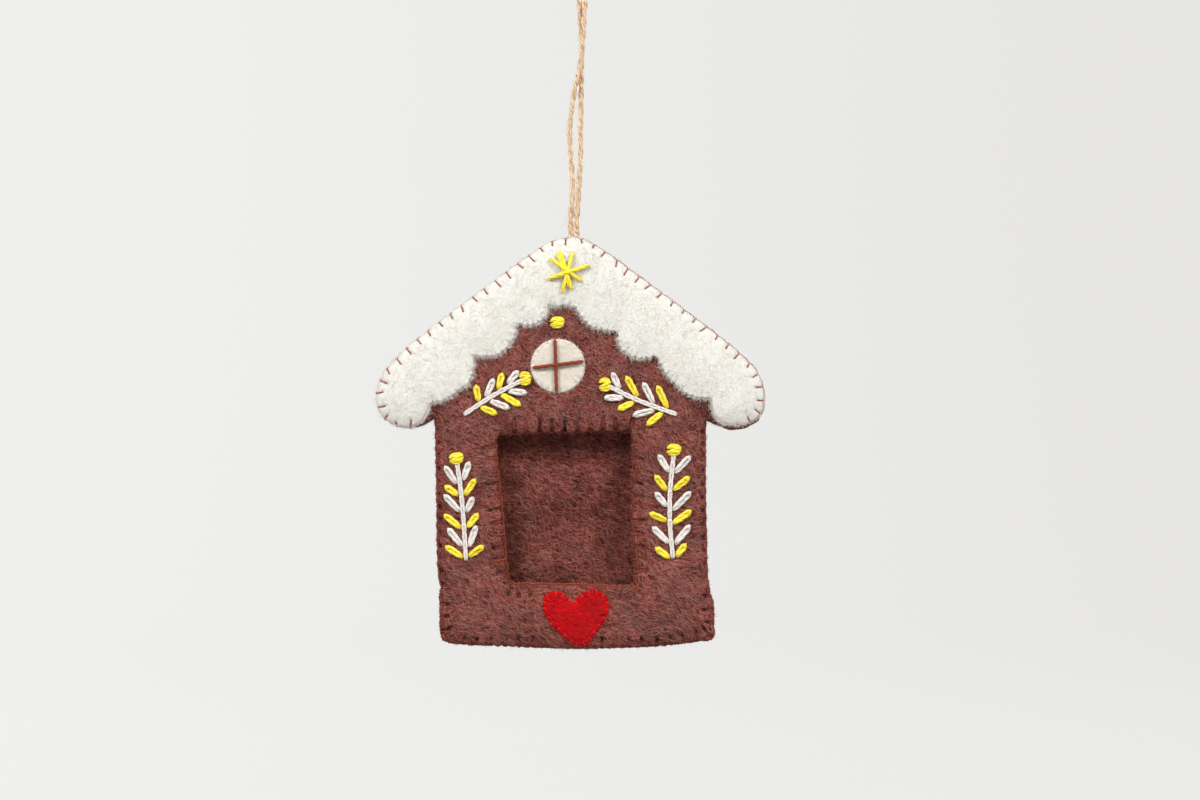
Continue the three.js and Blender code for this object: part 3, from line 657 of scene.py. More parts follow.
def mesh_of(sheet, step):
    """The points and triangles of the whole sheet, and how far each point is pressed in."""
    edge = np.concatenate(sheet.loops)
    parts = [edge]
    for ring in RINGS:
        for loop in sheet.loops:
            ahead = unit(np.roll(loop, -1, axis=0) - np.roll(loop, 1, axis=0))
            parts.append(kept(sheet, loop + ring * left_of(ahead), RING_ROOM * ring))
    (left, low), (right, high) = edge.min(axis=0), edge.max(axis=0)
    x, z = np.meshgrid(np.arange(left, right, step), np.arange(low, high, step * ROW_GAP))
    x = x + np.where(np.arange(len(z)) % 2, step / 2, 0)[:, None]
    grid = np.stack([x.ravel(), z.ravel()], axis=1)
    grid += chance.uniform(-GRID_JITTER, GRID_JITTER, grid.shape) * step
    parts.append(kept(sheet, grid, RINGS[-1] + GRID_ROOM * step))
    parts += [kept(sheet, around_stitches(*groove[:2]), STITCH_ROOM) for groove in sheet.grooves]

    number = np.arange(len(edge))
    ends = np.cumsum([len(loop) for loop in sheet.loops])[:-1]
    after = np.concatenate([np.roll(part, -1) for part in np.split(number, ends)])
    borders = np.stack([number, after], axis=1).tolist()
    vectors = [Vector(place) for place in (np.concatenate(parts) / MM).tolist()]
    out = delaunay_2d_cdt(vectors, borders, [], 0, 1e-6, True)
    places = np.array([tuple(place) for place in out[0]]) * MM
    on_edge = np.array([min(source) < len(edge) for source in out[3]])
    triangles = np.array(out[2])
    outer = on_edge[triangles].all(axis=1)
    keep = np.ones(len(triangles), bool)
    keep[outer] = inside(sheet.loops, places[triangles[outer]].mean(axis=1))
    triangles = triangles[keep]

    front = sheet.surface(places, -1, on_edge)
    back = sheet.surface(places[~on_edge], 1)
    number = np.arange(len(places))
    number[~on_edge] = len(places) + np.arange(len(back))
    triangles = np.concatenate([triangles, number[triangles][:, ::-1]])
    # This depth is also what the material paints as shade in the grooves and holes.
    deep = sheet.pressed(places) / (GROOVE_DEPTH + HOLE_DEPTH)
    if sheet.outside < 0:
        deep = np.append(deep, np.zeros(len(back)))
    else:
        deep = np.append(np.zeros(len(front)), deep[~on_edge])
    return np.concatenate([front, back]), triangles, deep


# %% The seven sheets
face = Felt("face_panel", crown=1.1 * MM, framed=True, seed=1, power=3)
lining = Felt("lining_panel", framed=True, seed=2, power=3)
back = Felt("back_panel", seed=3, outside=1, power=3)
snow = Felt("snow_roof", corner=SNOW_CORNER, crown=0.45 * MM, seed=4, power=4)
disc = Felt("gable_window", seed=5)
heart = Felt("heart_patch", corner=SNOW_CORNER, seed=6)
pad = Felt("wadding", seed=7)
outer_edge, window_edge = ([loop[::2]] for loop in face.loops)  # every second point will do
print(f"{len(face.loops)} outlines on the face, with {[len(loop) for loop in face.loops]} points")

# %% [markdown]
# ## Where the stitches are
#
# In the pattern, a row of stitches is one solid, and each of its legs ends in front in a small
# flat rectangle. The triangles at the foremost depth are sorted into groups that share points,
# and the longer direction of each group is the leg. The end inside the felt is the needle's
# hole, and the other end goes over the edge. A hand never makes two legs alike, so each then gets
# a length of its own.

# %% Stitches from the pattern
def foremost(points):
    """Whether each point lies at the smallest depth of them all."""
    return points[:, 1] < points[:, 1].min() + SAME_DEPTH


def ends_of(places):
    """The two ends of a long narrow shape: its reach both ways from its middle, along itself."""
    middle = places.mean(axis=0)
    direction = np.linalg.svd(places - middle)[2][0]
    reach = (places - middle) @ direction
    return middle + np.outer([reach.min(), reach.max()], direction)


def groups(triangles, count):
    """A group number for each point: points that triangles join have the same one."""
    label = np.arange(count)
    while True:
        lower = label.copy()
        np.minimum.at(lower, triangles, label[triangles].min(axis=1)[:, None])
        if (lower == label).all():
            return label
        label = lower


def legs_of(node, loops):
    """Each stitch of a row, as its hole in the felt and the place where it meets the cut edge."""
    points, triangles = triangles_of(node)
    triangles = triangles[foremost(points)[triangles].all(axis=1)]
    label = groups(triangles, len(points))
    legs = []
    for number in np.unique(label[triangles]):
        hole, edge = ends_of(points[label == number][:, [0, 2]])
        if inside(loops, edge[None])[0]:
            hole, edge = edge, hole
        legs.append((hole, edge + unit(hole - edge) * distance_to(loops, edge[None])[0]))
    return tuple(np.array(legs).swapaxes(0, 1))


def by_hand(row, shortest, longest, slip):
    """The same stitches, each of its own share of the length, and a little out of line."""
    holes, edges = row
    span = edges - holes
    length = chance.uniform(shortest, longest, (len(holes), 1))
    return edges - span * length + left_of(span) * chance.normal(0, slip, (len(holes), 1)), edges


# %% Rows of blanket stitch
TOP_LIP = 1.5 * MM  # stitches this near the window's top are longer and pull deeper grooves
LONGER = 0.9 * MM
HAND = {  # the shortest and the longest leg, as shares of the pattern's, and how far out of line
    "roof_edge": (0.35, 0.8, 0.14), "lower_edge": (0.7, 1.1, 0.08), "window": (0.8, 1.15, 0.05),
}
rows = {
    name: legs_of(f"{name}_stitch", face.loops)
    for name in ("roof_edge", "lower_edge", "left_side", "right_side", "window")
}
for name, shares in HAND.items():
    rows[name] = by_hand(rows[name], *shares)
window_holes, window_edges = rows["window"]
window_top = window_edges[:, 1].max()
at_top_lip = window_edges[:, 1] > window_top - TOP_LIP
window_holes[at_top_lip, 1] += LONGER
print({name: len(holes) for name, (holes, _) in rows.items()}, "blanket stitches")

# %% [markdown]
# The hem of the snow is whipped down with twice as many stitches as the pattern has, so a stitch
# is added between each two neighbours. The patches are whipped down too, with short stitches.

# %% Rows of small stitches
HEM_NEIGHBOURS = 4.2 * MM
HEM_HAND = (0.45, 0.85, 0.1)
DISC_PITCH = 1.9 * MM
DISC_LEG = 0.8 * MM
HEART_PITCH = 2.3 * MM
HEART_LEG = 1.1 * MM
PITCH_SLIP = 0.12


def between(holes, edges, reach):
    """The same stitches, and one more halfway between each two that are near each other."""
    order = np.argsort(edges[:, 0])
    near = np.linalg.norm(np.diff(edges[order], axis=0), axis=1) < reach
    ends = (ends[order] for ends in (holes, edges))
    return tuple(np.concatenate([end, ((end[1:] + end[:-1]) / 2)[near]]) for end in ends)


def whipped(loop, pitch, leg):
    """Stitches over a closed outline, evenly spaced, each as its hole and its place on the edge."""
    ring = np.concatenate([loop, loop[:1]])
    length = along(ring)
    count = round(length[-1] / pitch)
    marks = (np.arange(count) + 0.5) * length[-1] / count
    marks += chance.uniform(-PITCH_SLIP, PITCH_SLIP, count) * pitch
    edges = at(marks, length, ring)
    ahead = unit(at(marks + EDGE_STEP, length, ring) - edges)
    return edges + leg * left_of(ahead), edges


hem = between(*legs_of("snow_hem_stitch", snow.loops), HEM_NEIGHBOURS)
rows["snow_hem"] = by_hand(hem, *HEM_HAND)
rows["round_window"] = whipped(disc.loops[0], DISC_PITCH, DISC_LEG)
rows["heart"] = whipped(heart.loops[0], HEART_PITCH, HEART_LEG)
print({name: len(rows[name][0]) for name in ("snow_hem", "round_window", "heart")}, "whip stitches")

# %% [markdown]
# ## Sewing
#
# Each row presses into the sheet that it shows on and draws in its edge. Over the window the
# felt is pulled hardest, near the lip, which makes the row of small puffs there. The two lower
# corners of the real house are squarer than the pattern's, so they are pushed out.

# %% Sew the sheets
WINDOW_DEPTHS = (1.2, 0.8)  # at the top lip, and elsewhere round the window
WINDOW_PULLS = (2.2, 1.5)
CORNER_PUSH = 1.0 * MM
CORNER_WIDTH = 2.4 * MM
SEWN = (  # the sheet, the row, how deep it presses and how far it draws in, as shares, and width
    (face, "lower_edge", 1.0, 1.8, DRAWN_WIDTH),
    (face, "left_side", 1.0, 1.8, DRAWN_WIDTH),
    (face, "right_side", 1.0, 1.8, DRAWN_WIDTH),
    (snow, "roof_edge", 0.4, 0.7, DRAWN_WIDTH),
    (snow, "snow_hem", 0.2, 1.9, HEM_WIDTH),
    (disc, "round_window", 0.2, 0.5, DRAWN_WIDTH),
    (heart, "heart", 0.3, 0.7, HEM_WIDTH),
    (back, "roof_edge", 0.35, 1.0, DRAWN_WIDTH),
    (back, "lower_edge", 0.35, 1.0, DRAWN_WIDTH),
)
face.sewn(
    window_holes, window_edges, np.where(at_top_lip, *WINDOW_DEPTHS),
    np.where(at_top_lip, *WINDOW_PULLS), deepest=np.where(at_top_lip, AT_LIP, AT_HOLE),
)
for sheet, row, depth, pull, width in SEWN:
    sheet.sewn(*rows[row], depth, pull, width)
face.pulls.append(snow.pulls[0])
low_corners = np.array([(-1, -1), (1, -1)]) / math.sqrt(2)
corner_points = face.loops[0][(face.loops[0] @ low_corners.T).argmax(axis=0)]
for sheet in (face, back):
    sheet.pulls.append((corner_points, low_corners * CORNER_PUSH, CORNER_WIDTH))
lining.pulls += face.pulls
print(f"{len(face.grooves)} rows press into the face")

# %% [markdown]
# Felt is cut flat, so each sheet's flat size is its outline's.

# %% Cut and lay the felt
FELT = {  # each piece's sheet, the step of its mesh, and the slot of its finish
    "face_felt": (face, 0.55 * MM, "brown_felt"),
    "lining_felt": (lining, 1.4 * MM, "brown_felt"),
    "back_felt": (back, 0.9 * MM, "brown_felt"),
    "snow_felt": (snow, 0.42 * MM, "white_felt"),
    "round_window_felt": (disc, 0.4 * MM, "white_felt"),
    "heart_felt": (heart, 0.4 * MM, "red_felt"),
    "wadding_pad": (pad, 1.6 * MM, "wadding"),
}
pieces = {}
for name, (sheet, step, slot) in FELT.items():
    points, triangles, deep = mesh_of(sheet, step)
    pieces[name] = make_piece(name, "house", slot, [sheet.node], points, triangles)
    # How far each point is pressed in, which the material turns into painted shade.
    keep_values(pieces[name], "pressed", deep)


wadding = pieces.pop("wadding_pad")
for name, piece in pieces.items():
    sheet = FELT[name][0]

# %% [markdown]
# ## Blanket stitch
#
# A blanket stitch comes out of a hole on the felt, goes over the cut edge, and catches the thread
# that runs along the edge before it goes on to the next hole. Each stitch is a path on the
# surface in front, round the edge, and on the surface behind, and its ends dive into the felt.

# %% The legs
SEWING = 0.5 * MM
LEG_SHARES = np.array([0, 0.03, 0.1, 0.22, 0.36, 0.5, 0.64, 0.78, 0.9])[:, None]
LEG_LIFT = 0.32  # of the thread's thickness
LEG_STEPS = 44
RIM_STEPS = 7
DIVE = 0.9 * MM
RIM_GAP = 0.22 * MM


def on_top(*sheets):
    """The surface of sheets laid on each other: a place shows the last one that covers it."""

    def surface(places, lift=0.0):
        flat = places.reshape(-1, 2)
        points = sheets[0].before(flat, lift)
        for sheet in sheets[1:]:
            covered = inside(sheet.loops, flat)
            if covered.any():
                points[covered] = sheet.before(flat[covered], lift)
        return points.reshape(*places.shape[:-1], 3)

    return surface


in_front = on_top(face, snow)
on_disc = on_top(face, snow, disc)


def leg_paths(holes, edges, behind, thread, sunk):
    """Paths over the edge, from the holes in front to the same holes behind.

    behind is the surface at the back, and sunk is how deep the legs in front have worked into
    the wool."""
    span = edges - holes
    places = holes[:, None] + LEG_SHARES * span[:, None]
    forth = in_front(places, thread * LEG_LIFT)
    back_again = behind(places, thread * LEG_LIFT)[:, ::-1]
    forth[..., 1] += sunk
    forth[:, 0, 1] += DIVE
    back_again[:, -1, 1] -= DIVE
    rim = face.drawn_in(edges) + unit(span) * RIM_GAP
    depth = np.linspace(forth[:, -1, 1], back_again[:, 0, 1], RIM_STEPS, axis=1)[:, 1:-1]
    over = in_space(np.broadcast_to(rim[:, None], (*depth.shape, 2)), depth)
    return np.concatenate([forth, over, back_again], axis=1)


# %% [markdown]
# The thread along the edge lies open where a leg catches it, and between the legs wool works its
# way over it. How much differs from edge to edge: on the real house the roof's thread is mostly
# buried on the left, and the window's on the right and above.

# %% The thread along the edge
BURIED = -0.8 * MM  # how far out of the edge the thread lies where wool has covered it
PROUD = 0.3 * MM  # and where it lies open
CAUGHT = 0.6 * MM  # how far from a leg the thread is still held up
WOBBLE = 0.12 * MM
WOBBLE_FINER = 6  # its waves are as many times shorter than the felt's
ROOF_COVER = (0.1, 0.5)  # how covered the roof's thread is on the right, and how much more on the left
COVER_STEP = 4 * MM
COVER_TOWARD = (0.6, 0.8)  # most of the window's thread is covered in this direction, up to the right
COVER_MORE = 0.6
COVER_RANGE = (0.1, 0.9)
star_x = middle_of("star_stitch")[0][0]
window_ring = np.concatenate([face.loops[1], face.loops[1][:1]])


def edge_run(edges):
    """The stretch of the house's outline that a row covers, from its first stitch to its last."""
    loop = face.loops[0]
    order = np.sort(np.linalg.norm(loop[:, None] - edges, axis=2).argmin(axis=0))
    gaps = np.diff(np.append(order, order[0] + len(loop)))
    first, last = order[(gaps.argmax() + 1) % len(order)], order[gaps.argmax()]
    if last < first:
        last += len(loop)
    return loop[np.arange(first, last + 1) % len(loop)]


def roof_cover(places):
    """More on the left than on the right, on a smooth step at the star."""
    return ROOF_COVER[0] + ROOF_COVER[1] / (1 + np.exp((places[:, 0] - star_x) / COVER_STEP))


def half_cover(places):
    """Halfway everywhere."""
    return np.full(len(places), 0.5)


def window_cover(places):
    """Half, plus a share of how far a place lies up and to the right of the window's middle."""
    middle = window_ring.mean(axis=0)
    toward = (places - middle) @ COVER_TOWARD / np.linalg.norm(places - middle, axis=1)
    return np.clip(0.5 + COVER_MORE * toward, *COVER_RANGE)


def edge_thread(run, edges, thread, cover, depth):
    """The thread along an edge, drawn in with the felt, and pushed out or covered between legs.

    cover gives for each place how much wool has worked over the thread, from 0 to 1, and depth
    is the place across the stack where it lies."""
    gap = np.linalg.norm(run[:, None] - edges, axis=2).min(axis=1)
    hidden = cover(run) * (1 - bell(gap, CAUGHT))
    out = PROUD + (BURIED - PROUD) * hidden + WOBBLE * ripple(run * WOBBLE_FINER, 11)
    moved = face.drawn_in(run) - left_of(unit(np.gradient(run, axis=0))) * out[:, None]
    return strands([gathered(moved, np.full(len(run), depth), True)], thread)


# %% Sew the edges
SUNK = 0.2 * MM
WINDOW_SUNK = (0.1, 0.75)  # millimetres
LIP_DEPTH = 0.4  # of the face's thickness, from its front
into_wool = chance.uniform(*WINDOW_SUNK, (len(window_holes), 1)) * MM
seam = (face.front + face.back) / 2
at_lip = face.front + (face.back - face.front) * LIP_DEPTH
BLANKET = {  # slot, back surface, leg and edge thread as shares of the cotton, cover, sunk, depth
    "roof_edge": ("rust_thread", back.behind, 0.9, 1.25, roof_cover, 0, seam),
    "lower_edge": ("brown_thread", back.behind, 1, 1.7, half_cover, SUNK, seam),
    "left_side": ("brown_thread", lining.behind, 1, 1.3, half_cover, SUNK, frame_middle),
    "right_side": ("brown_thread", lining.behind, 1, 1.3, half_cover, SUNK, frame_middle),
    "window": ("rust_thread", lining.behind, 1.9, 1.5, window_cover, into_wool, at_lip),
}
for name, (slot, behind, leg, edge, cover, sunk, depth) in BLANKET.items():
    holes, edges = rows[name]
    side = in_space(left_of(unit(edges - holes)), 0)[:, None]
    paths = leg_paths(holes, edges, behind, leg * SEWING, sunk)
    legs = strands([even_steps(path, LEG_STEPS) for path in paths], leg * SEWING, side=side)
    run = window_ring if name == "window" else edge_run(edges)
    parts = joined([legs, edge_thread(run, edges, edge * SEWING, cover, depth)])
    make_piece(f"{name}_thread", "house", slot, [f"{name}_stitch"], *parts)

# %% [markdown]
# ## Whip stitch
#
# The hem of the snow and the two patches are held by short stitches that only go over the cut
# edge and into the felt below. White thread hardly shows on white felt, so there the eye sees how
# it puckers the edge. The heart's thread is a lighter red than its felt.

# %% Whip stitch
HEM_THREAD = 0.3 * MM
PATCH_THREAD = 0.26 * MM
WHIP_SHARES = np.array([0, 0.05, 0.2, 0.4, 0.6, 0.8, 0.95])[:, None]
WHIP_LIFT = 0.25  # of the thread's thickness
FOOT_LIFT = 0.3
WHIP_OUT = 0.25 * MM
WHIP_STEPS = 14


def whip_row(row, slot, sheet, thread, replaces=()):
    """A row of whip stitches: out of a hole in a sheet, over its edge, and into the felt below."""
    holes, edges = rows[row]
    outwards = unit(edges - holes)
    places = holes[:, None] + WHIP_SHARES * (edges - holes)[:, None]
    over = sheet.before(places, thread * WHIP_LIFT)
    over[:, 0, 1] += DIVE
    step = in_front(sheet.drawn_in(edges) + outwards * WHIP_OUT, thread * FOOT_LIFT)
    middle = (over[:, -1] + step) / 2 + in_space(outwards, 0) * WHIP_OUT / 3
    foot = np.stack([middle, step, step + (0, DIVE, 0)], axis=1)
    paths = [even_steps(path, WHIP_STEPS) for path in np.concatenate([over, foot], axis=1)]
    side = in_space(left_of(outwards), 0)[:, None]
    make_piece(f"{row}_thread", "house", slot, replaces, *strands(paths, thread, side=side))


whip_row("snow_hem", "white_thread", snow, HEM_THREAD, ["snow_hem_stitch"])
whip_row("round_window", "white_thread", disc, PATCH_THREAD)
whip_row("heart", "red_felt", heart, PATCH_THREAD)

# %% [markdown]
# ## Straight stitches
#
# Embroidery cotton is thicker and softer than sewing thread, and has three plies here. The star
# and the two bars of the round window are straight stitches laid across each other: each comes
# up, crosses the felt in a low arch over those before it, and goes down again.

# %% Straight stitches
FLOSS_LAY = 6 * MM
STROKE_STEPS = 26
STROKE_LIFT = 0.42  # of the thread's thickness
STROKE_DIVE = 0.45 * MM  # how far from its ends a stitch starts to go down
STAR_THREAD = 1.12 * MM
STAR_CORNERS = 8
STAR_TAPER = 0.28  # the share by which its strokes are thinner at their ends
STAR_ARCH = 0.2 * MM
STAR_RISE = 0.15 * MM  # how much higher each stroke lies than the one before
BAR_THREAD = 1.08 * MM
BAR_ARCH = 0.08 * MM
BAR_RISE = 0.25 * MM
STAR_STROKES = [  # ends as shares of half the star's width, from its middle
    ((-0.46, 0.96), (0.1, -0.72)), ((-0.32, 0.99), (0.21, -0.84)), ((0.27, 1), (-0.26, -0.99)),
    ((-0.84, 0.69), (0.68, -0.42)), ((-0.92, -0.31), (1.06, 0.34)),
]
BAR_STROKES = [  # ends as shares of half the round window's width
    ((-0.1, 0.99), (-0.04, -0.99)), ((-0.93, -0.07), (0.95, 0.16)),
]


def near_end(share, reach):
    """1 at both ends of a path and less with the distance, where share runs from 0 to 1."""
    return bell(np.minimum(share, 1 - share), reach)


def stroke(start, end, surface, thread, arch, dive=DIVE):
    """A straight stitch on a surface that dives in at both ends and arches in between."""
    share = np.linspace(0, 1, STROKE_STEPS)
    path = surface(np.outer(1 - share, start) + np.outer(share, end), thread * STROKE_LIFT)
    path[:, 1] += dive * near_end(share, STROKE_DIVE / np.linalg.norm(np.subtract(end, start)))
    path[:, 1] -= arch * np.sin(np.pi * share)
    return path


def floss_piece(name, slot, node, paths, thread, *shape):
    """Embroidery in place of a node. Its shape may be given too, as corners and swell."""
    make_piece(name, "house", slot, [node], *strands(paths, thread, 3, FLOSS_LAY, *shape))


def strokes(ends, node, surface, thread, arch, rise):
    """Straight stitches that cross, on a node, each a little higher than the one before."""
    centre, radius = middle_of(node)
    ends = centre + radius * np.array(ends)
    return [stroke(a, b, surface, thread, arch + i * rise) for i, (a, b) in enumerate(ends)]


tapering = 1 - STAR_TAPER * (1 - np.sin(np.pi * np.linspace(0, 1, STROKE_STEPS)) ** 0.5)
star = strokes(STAR_STROKES, "star_stitch", snow.before, STAR_THREAD, STAR_ARCH, STAR_RISE)
floss_piece("star_thread", "yellow_thread", "star_stitch", star, STAR_THREAD, STAR_CORNERS, tapering)
bars = strokes(BAR_STROKES, "gable_window", on_disc, BAR_THREAD, BAR_ARCH, BAR_RISE)
floss_piece("bar_thread", "rust_thread", "mullion_stitch", bars, BAR_THREAD)

# %% [markdown]
# ## Leaves
#
# The leaves are lazy daisies: a single loop of thread that comes out of the felt at its seat,
# goes round at its tip, and goes back in at the seat. A tiny stitch over the tip holds it down.
# Half of the loop's outline is enough, because the other half is its mirror image.

# %% Leaves
LEAF_THREAD = 1.02 * MM
LEAF_WIDTH = 1.92 * MM
LEAF_STEPS = 40
LEAF_LIFT = 0.4
LEAF_STEP = 0.25 * MM
LEAF_TWIST = 0.25 * MM  # one side of a loop lies higher than the other by up to this
LEAF_ENDS = 0.05  # the share of the loop over which an end dives in
TIE_BACK = LEAF_THREAD * 1.25
TIE_END = 0.1 * MM
TIE_ARCH = LEAF_THREAD * 0.75
TIE_DIVE = DIVE * 1.2
LEAF_SHAPE = [  # half of a loop: across, as a share of half its width, and along
    (0.12, 0), (0.5, 0.14), (0.88, 0.36), (1, 0.64), (0.96, 0.86), (0.62, 0.98), (0, 1),
]


def leaf_path(seat, tip):
    """A loop of thread from the seat round the tip and back, smooth, and diving in at the seat."""
    length = np.linalg.norm(tip - seat) - LEAF_THREAD / 2
    ahead = unit(tip - seat)
    shape = np.array(LEAF_SHAPE + [(-a, b) for a, b in LEAF_SHAPE[-2::-1]])
    half = (LEAF_WIDTH - LEAF_THREAD) / 2
    places = seat + np.outer(shape[:, 1] * length, ahead)
    places = smooth(places + np.outer(shape[:, 0] * half, left_of(ahead)), LEAF_STEP)
    path = face.before(places, LEAF_THREAD * LEAF_LIFT)
    share = np.linspace(0, 1, len(path))
    path[:, 1] += DIVE * near_end(share, LEAF_ENDS)
    path[:, 1] -= chance.uniform(-1, 1) * LEAF_TWIST * np.sin(2 * np.pi * share)
    return even_steps(path, LEAF_STEPS)


def tie_path(seat, tip):
    """The tiny stitch that holds down the tip of a leaf."""
    ahead = unit(tip - seat)
    start, end = tip - ahead * TIE_BACK, tip - ahead * TIE_END
    return even_steps(stroke(start, end, face.before, LEAF_THREAD, TIE_ARCH, TIE_DIVE), LEAF_STEPS)


# %% [markdown]
# ## Stems
#
# A stem is a chain: the two threads of each link part and meet again, and dive into the felt
# where the next link starts.

# %% Stems
STEM_THREAD = 0.74 * MM
STEM_STEP = 0.5 * MM
STEM_LINK = 2.5 * MM
STEM_SPREAD = 0.34 * MM
STEM_HAND = (0.9, 1.1)  # the narrowest and the widest link, as shares of the spread
STEM_ENDS_OPEN = 0.35  # the share of its spread that a link keeps at its ends
STEM_LIFT = 0.45  # of the thread's thickness
STEM_DIVE = 0.5 * MM
STEM_DIVE_REACH = 0.1
STEM_ARCH = 0.15 * MM
LINK_ENDS = (0.5 * MM, 0.25 * MM)  # how far a link reaches back under the last, and on


def stem_paths(stem):
    """The threads of a chain along the stem, apart from its line by a half wave in each link."""
    line = smooth(stem, STEM_STEP)
    length = along(line)
    marks = np.linspace(0, length[-1], max(2, round(length[-1] / STEM_LINK)) + 1)
    across = left_of(unit(np.gradient(line, axis=0)))
    share = np.linspace(0, 1, LEAF_STEPS // 2)
    paths = []
    for low, high in zip(marks, marks[1:]):
        spots = np.linspace(low - LINK_ENDS[0], high + LINK_ENDS[1], len(share))
        arch = np.sin(np.pi * share)
        spread = STEM_SPREAD * chance.uniform(*STEM_HAND) * (STEM_ENDS_OPEN + (1 - STEM_ENDS_OPEN) * arch)
        beside = spread[:, None] * at(spots, length, across)
        for side in (-1, 1):
            path = face.before(at(spots, length, line) + side * beside, STEM_THREAD * STEM_LIFT)
            path[:, 1] += STEM_DIVE * near_end(share, STEM_DIVE_REACH) - STEM_ARCH * arch
            paths.append(path)
    return paths


# %% [markdown]
# ## Knots
#
# A knot is thread wrapped over itself into a small bud. Its wraps lie side by side and bow
# outwards like the staves of a barrel, and the last one lies across them.

# %% Knots
KNOT_RISE = 0.8 * MM
KNOT_THREAD = 0.88 * MM
KNOT_DIVE = 0.6 * MM
KNOT_DIVE_REACH = 0.06
KNOT_SLIP = 0.06  # how far out of its row a wrap may be
KNOT_SHORTER = 0.35  # how much shorter the outer wraps are, and how much lower, by their rows' squares
KNOT_LOWER = 0.7
KNOT_BOW = 0.3  # the share of a wrap's place across that it only reaches in its middle
KNOT_TUCK = KNOT_THREAD * 0.2
KNOT_LIFT = KNOT_THREAD * 0.3
KNOT_ARCH = 0.6  # a power under 1 makes the arch of a wrap fuller
KNOT_WRAPS = ((-1, 0.04), (1, -0.04), (-0.5, 0.12), (0.5, -0.1), (0.02, 0.34))  # row and lean


def knot_piece(name, node, wide, tall, tilt):
    """A bud of thread as wide and tall as shares of its node, with the wraps turned by the tilt."""
    centre, half = middle_of(node)
    width, height = 2 * half * wide, 2 * half * tall
    forth = np.array([math.cos(tilt), math.sin(tilt)])
    share = np.linspace(0, 1, LEAF_STEPS)
    bow = np.sin(np.pi * share)
    paths = []
    for row, lean in KNOT_WRAPS:
        row += chance.uniform(-KNOT_SLIP, KNOT_SLIP)
        reach = width / 2 * math.sqrt(1 - KNOT_SHORTER * row**2) - KNOT_TUCK
        out = row * (height - KNOT_THREAD) / 2 * (1 - KNOT_BOW * (1 - bow)) + lean * height * (share - 0.5)
        places = centre + np.outer((share * 2 - 1) * reach, forth) + np.outer(out, left_of(forth))
        path = face.before(places, KNOT_LIFT)
        path[:, 1] -= KNOT_RISE * math.sqrt(1 - KNOT_LOWER * row**2) * bow**KNOT_ARCH
        path[:, 1] += KNOT_DIVE * near_end(share, KNOT_DIVE_REACH)
        paths.append(path)
    floss_piece(name, "yellow_thread", node, paths, KNOT_THREAD)


# %% [markdown]
# ## Sprigs
#
# In the pattern a sprig's stem and its white leaves are one solid. Only the stem reaches its
# foremost depth. What lies beside it is white leaves, and a gap along the stem parts each from
# the next. The yellow leaves and the knot are nodes of their own.

# %% Sprigs
LEAF_OFF_STEM = 0.75 * MM
LEAF_GAP = 1.7 * MM
STEM_GAP = 2 * MM
SEAT_BACK = 0.14  # of a yellow leaf's length, which its seat goes further back under the stem
STEM_START = 0.3  # the stem starts at this share of the way from the knot
WIDE_BUD, TALL_BUD = (1.15, 0.95), (0.95, 1.15)  # its width and height, as shares of the pattern's
BUD_TILT = 0.2


def parted(places, ahead, gap):
    """Places sorted along a direction, and split wherever there is a gap."""
    places = places[np.argsort(places @ ahead)]
    return np.split(places, np.flatnonzero(np.diff(places @ ahead) > gap) + 1)


def leaf_ends(places, origin, across):
    """The seat and the tip of a leaf: of its two ends, the seat is nearer to the stem."""
    return sorted(ends_of(places), key=lambda end: abs((end - origin) @ across))


def read_sprig(name):
    """A sprig's stem, the seats and tips of its white leaves, and those of its yellow ones."""
    points, _ = triangles_of(f"{name}_sprig_stem")
    places = points[:, [0, 2]]
    knot, _ = middle_of(f"{name}_sprig_knot")
    top = places[foremost(points)]
    ahead = unit(top.mean(axis=0) - knot)
    across = left_of(ahead)
    stem = np.array([part.mean(axis=0) for part in parted(top, ahead, STEM_GAP)])
    off = places @ across - np.interp(places @ ahead, stem @ ahead, stem @ across)
    white = []
    for side in (-1, 1):
        leaves = parted(places[off * side > LEAF_OFF_STEM], ahead, LEAF_GAP)
        white += [leaf_ends(leaf, stem[0], across) for leaf in leaves]
    yellow = {}
    for node in sorted(n for n in nodes if n.startswith(f"{name}_sprig_leaf")):
        yellow[node] = leaf_ends(triangles_of(node)[0][:, [0, 2]], stem[0], across)
    return np.concatenate([[knot + (stem[0] - knot) * STEM_START], stem]), white, yellow


for name in ("left", "right", "upper_left", "upper_right"):
    stem, white, yellow = read_sprig(name)
    paths = [leaf_path(*leaf) for leaf in white] + [tie_path(*leaf) for leaf in white]
    leaves = strands(paths, LEAF_THREAD, 3, FLOSS_LAY)
    chain = strands(stem_paths(stem), STEM_THREAD, 3, FLOSS_LAY / 2)
    stem_nodes = [f"{name}_sprig_stem"]
    make_piece(f"{name}_stem_thread", "house", "white_thread", stem_nodes, *joined([leaves, chain]))
    for node, (seat, tip) in yellow.items():
        seat = seat - (tip - seat) * SEAT_BACK
        paths = [leaf_path(seat, tip), tie_path(seat, tip)]
        floss_piece(f"{node}_thread", "yellow_thread", node, paths, LEAF_THREAD)
    bud = TALL_BUD if name.startswith("upper") else WIDE_BUD
    tilt = chance.uniform(-BUD_TILT, BUD_TILT)
    knot_piece(f"{name}_knot_thread", f"{name}_sprig_knot", *bud, tilt)
knot_piece("gable_knot_thread", "gable_knot", 1.05, 0.88, 0.1)

# %% [markdown]
# ## The twine between the layers
#
# The two ends of the twine go on between the layers of felt to a knot, and end in two tails. It
# hardly shows, except at the ridge.

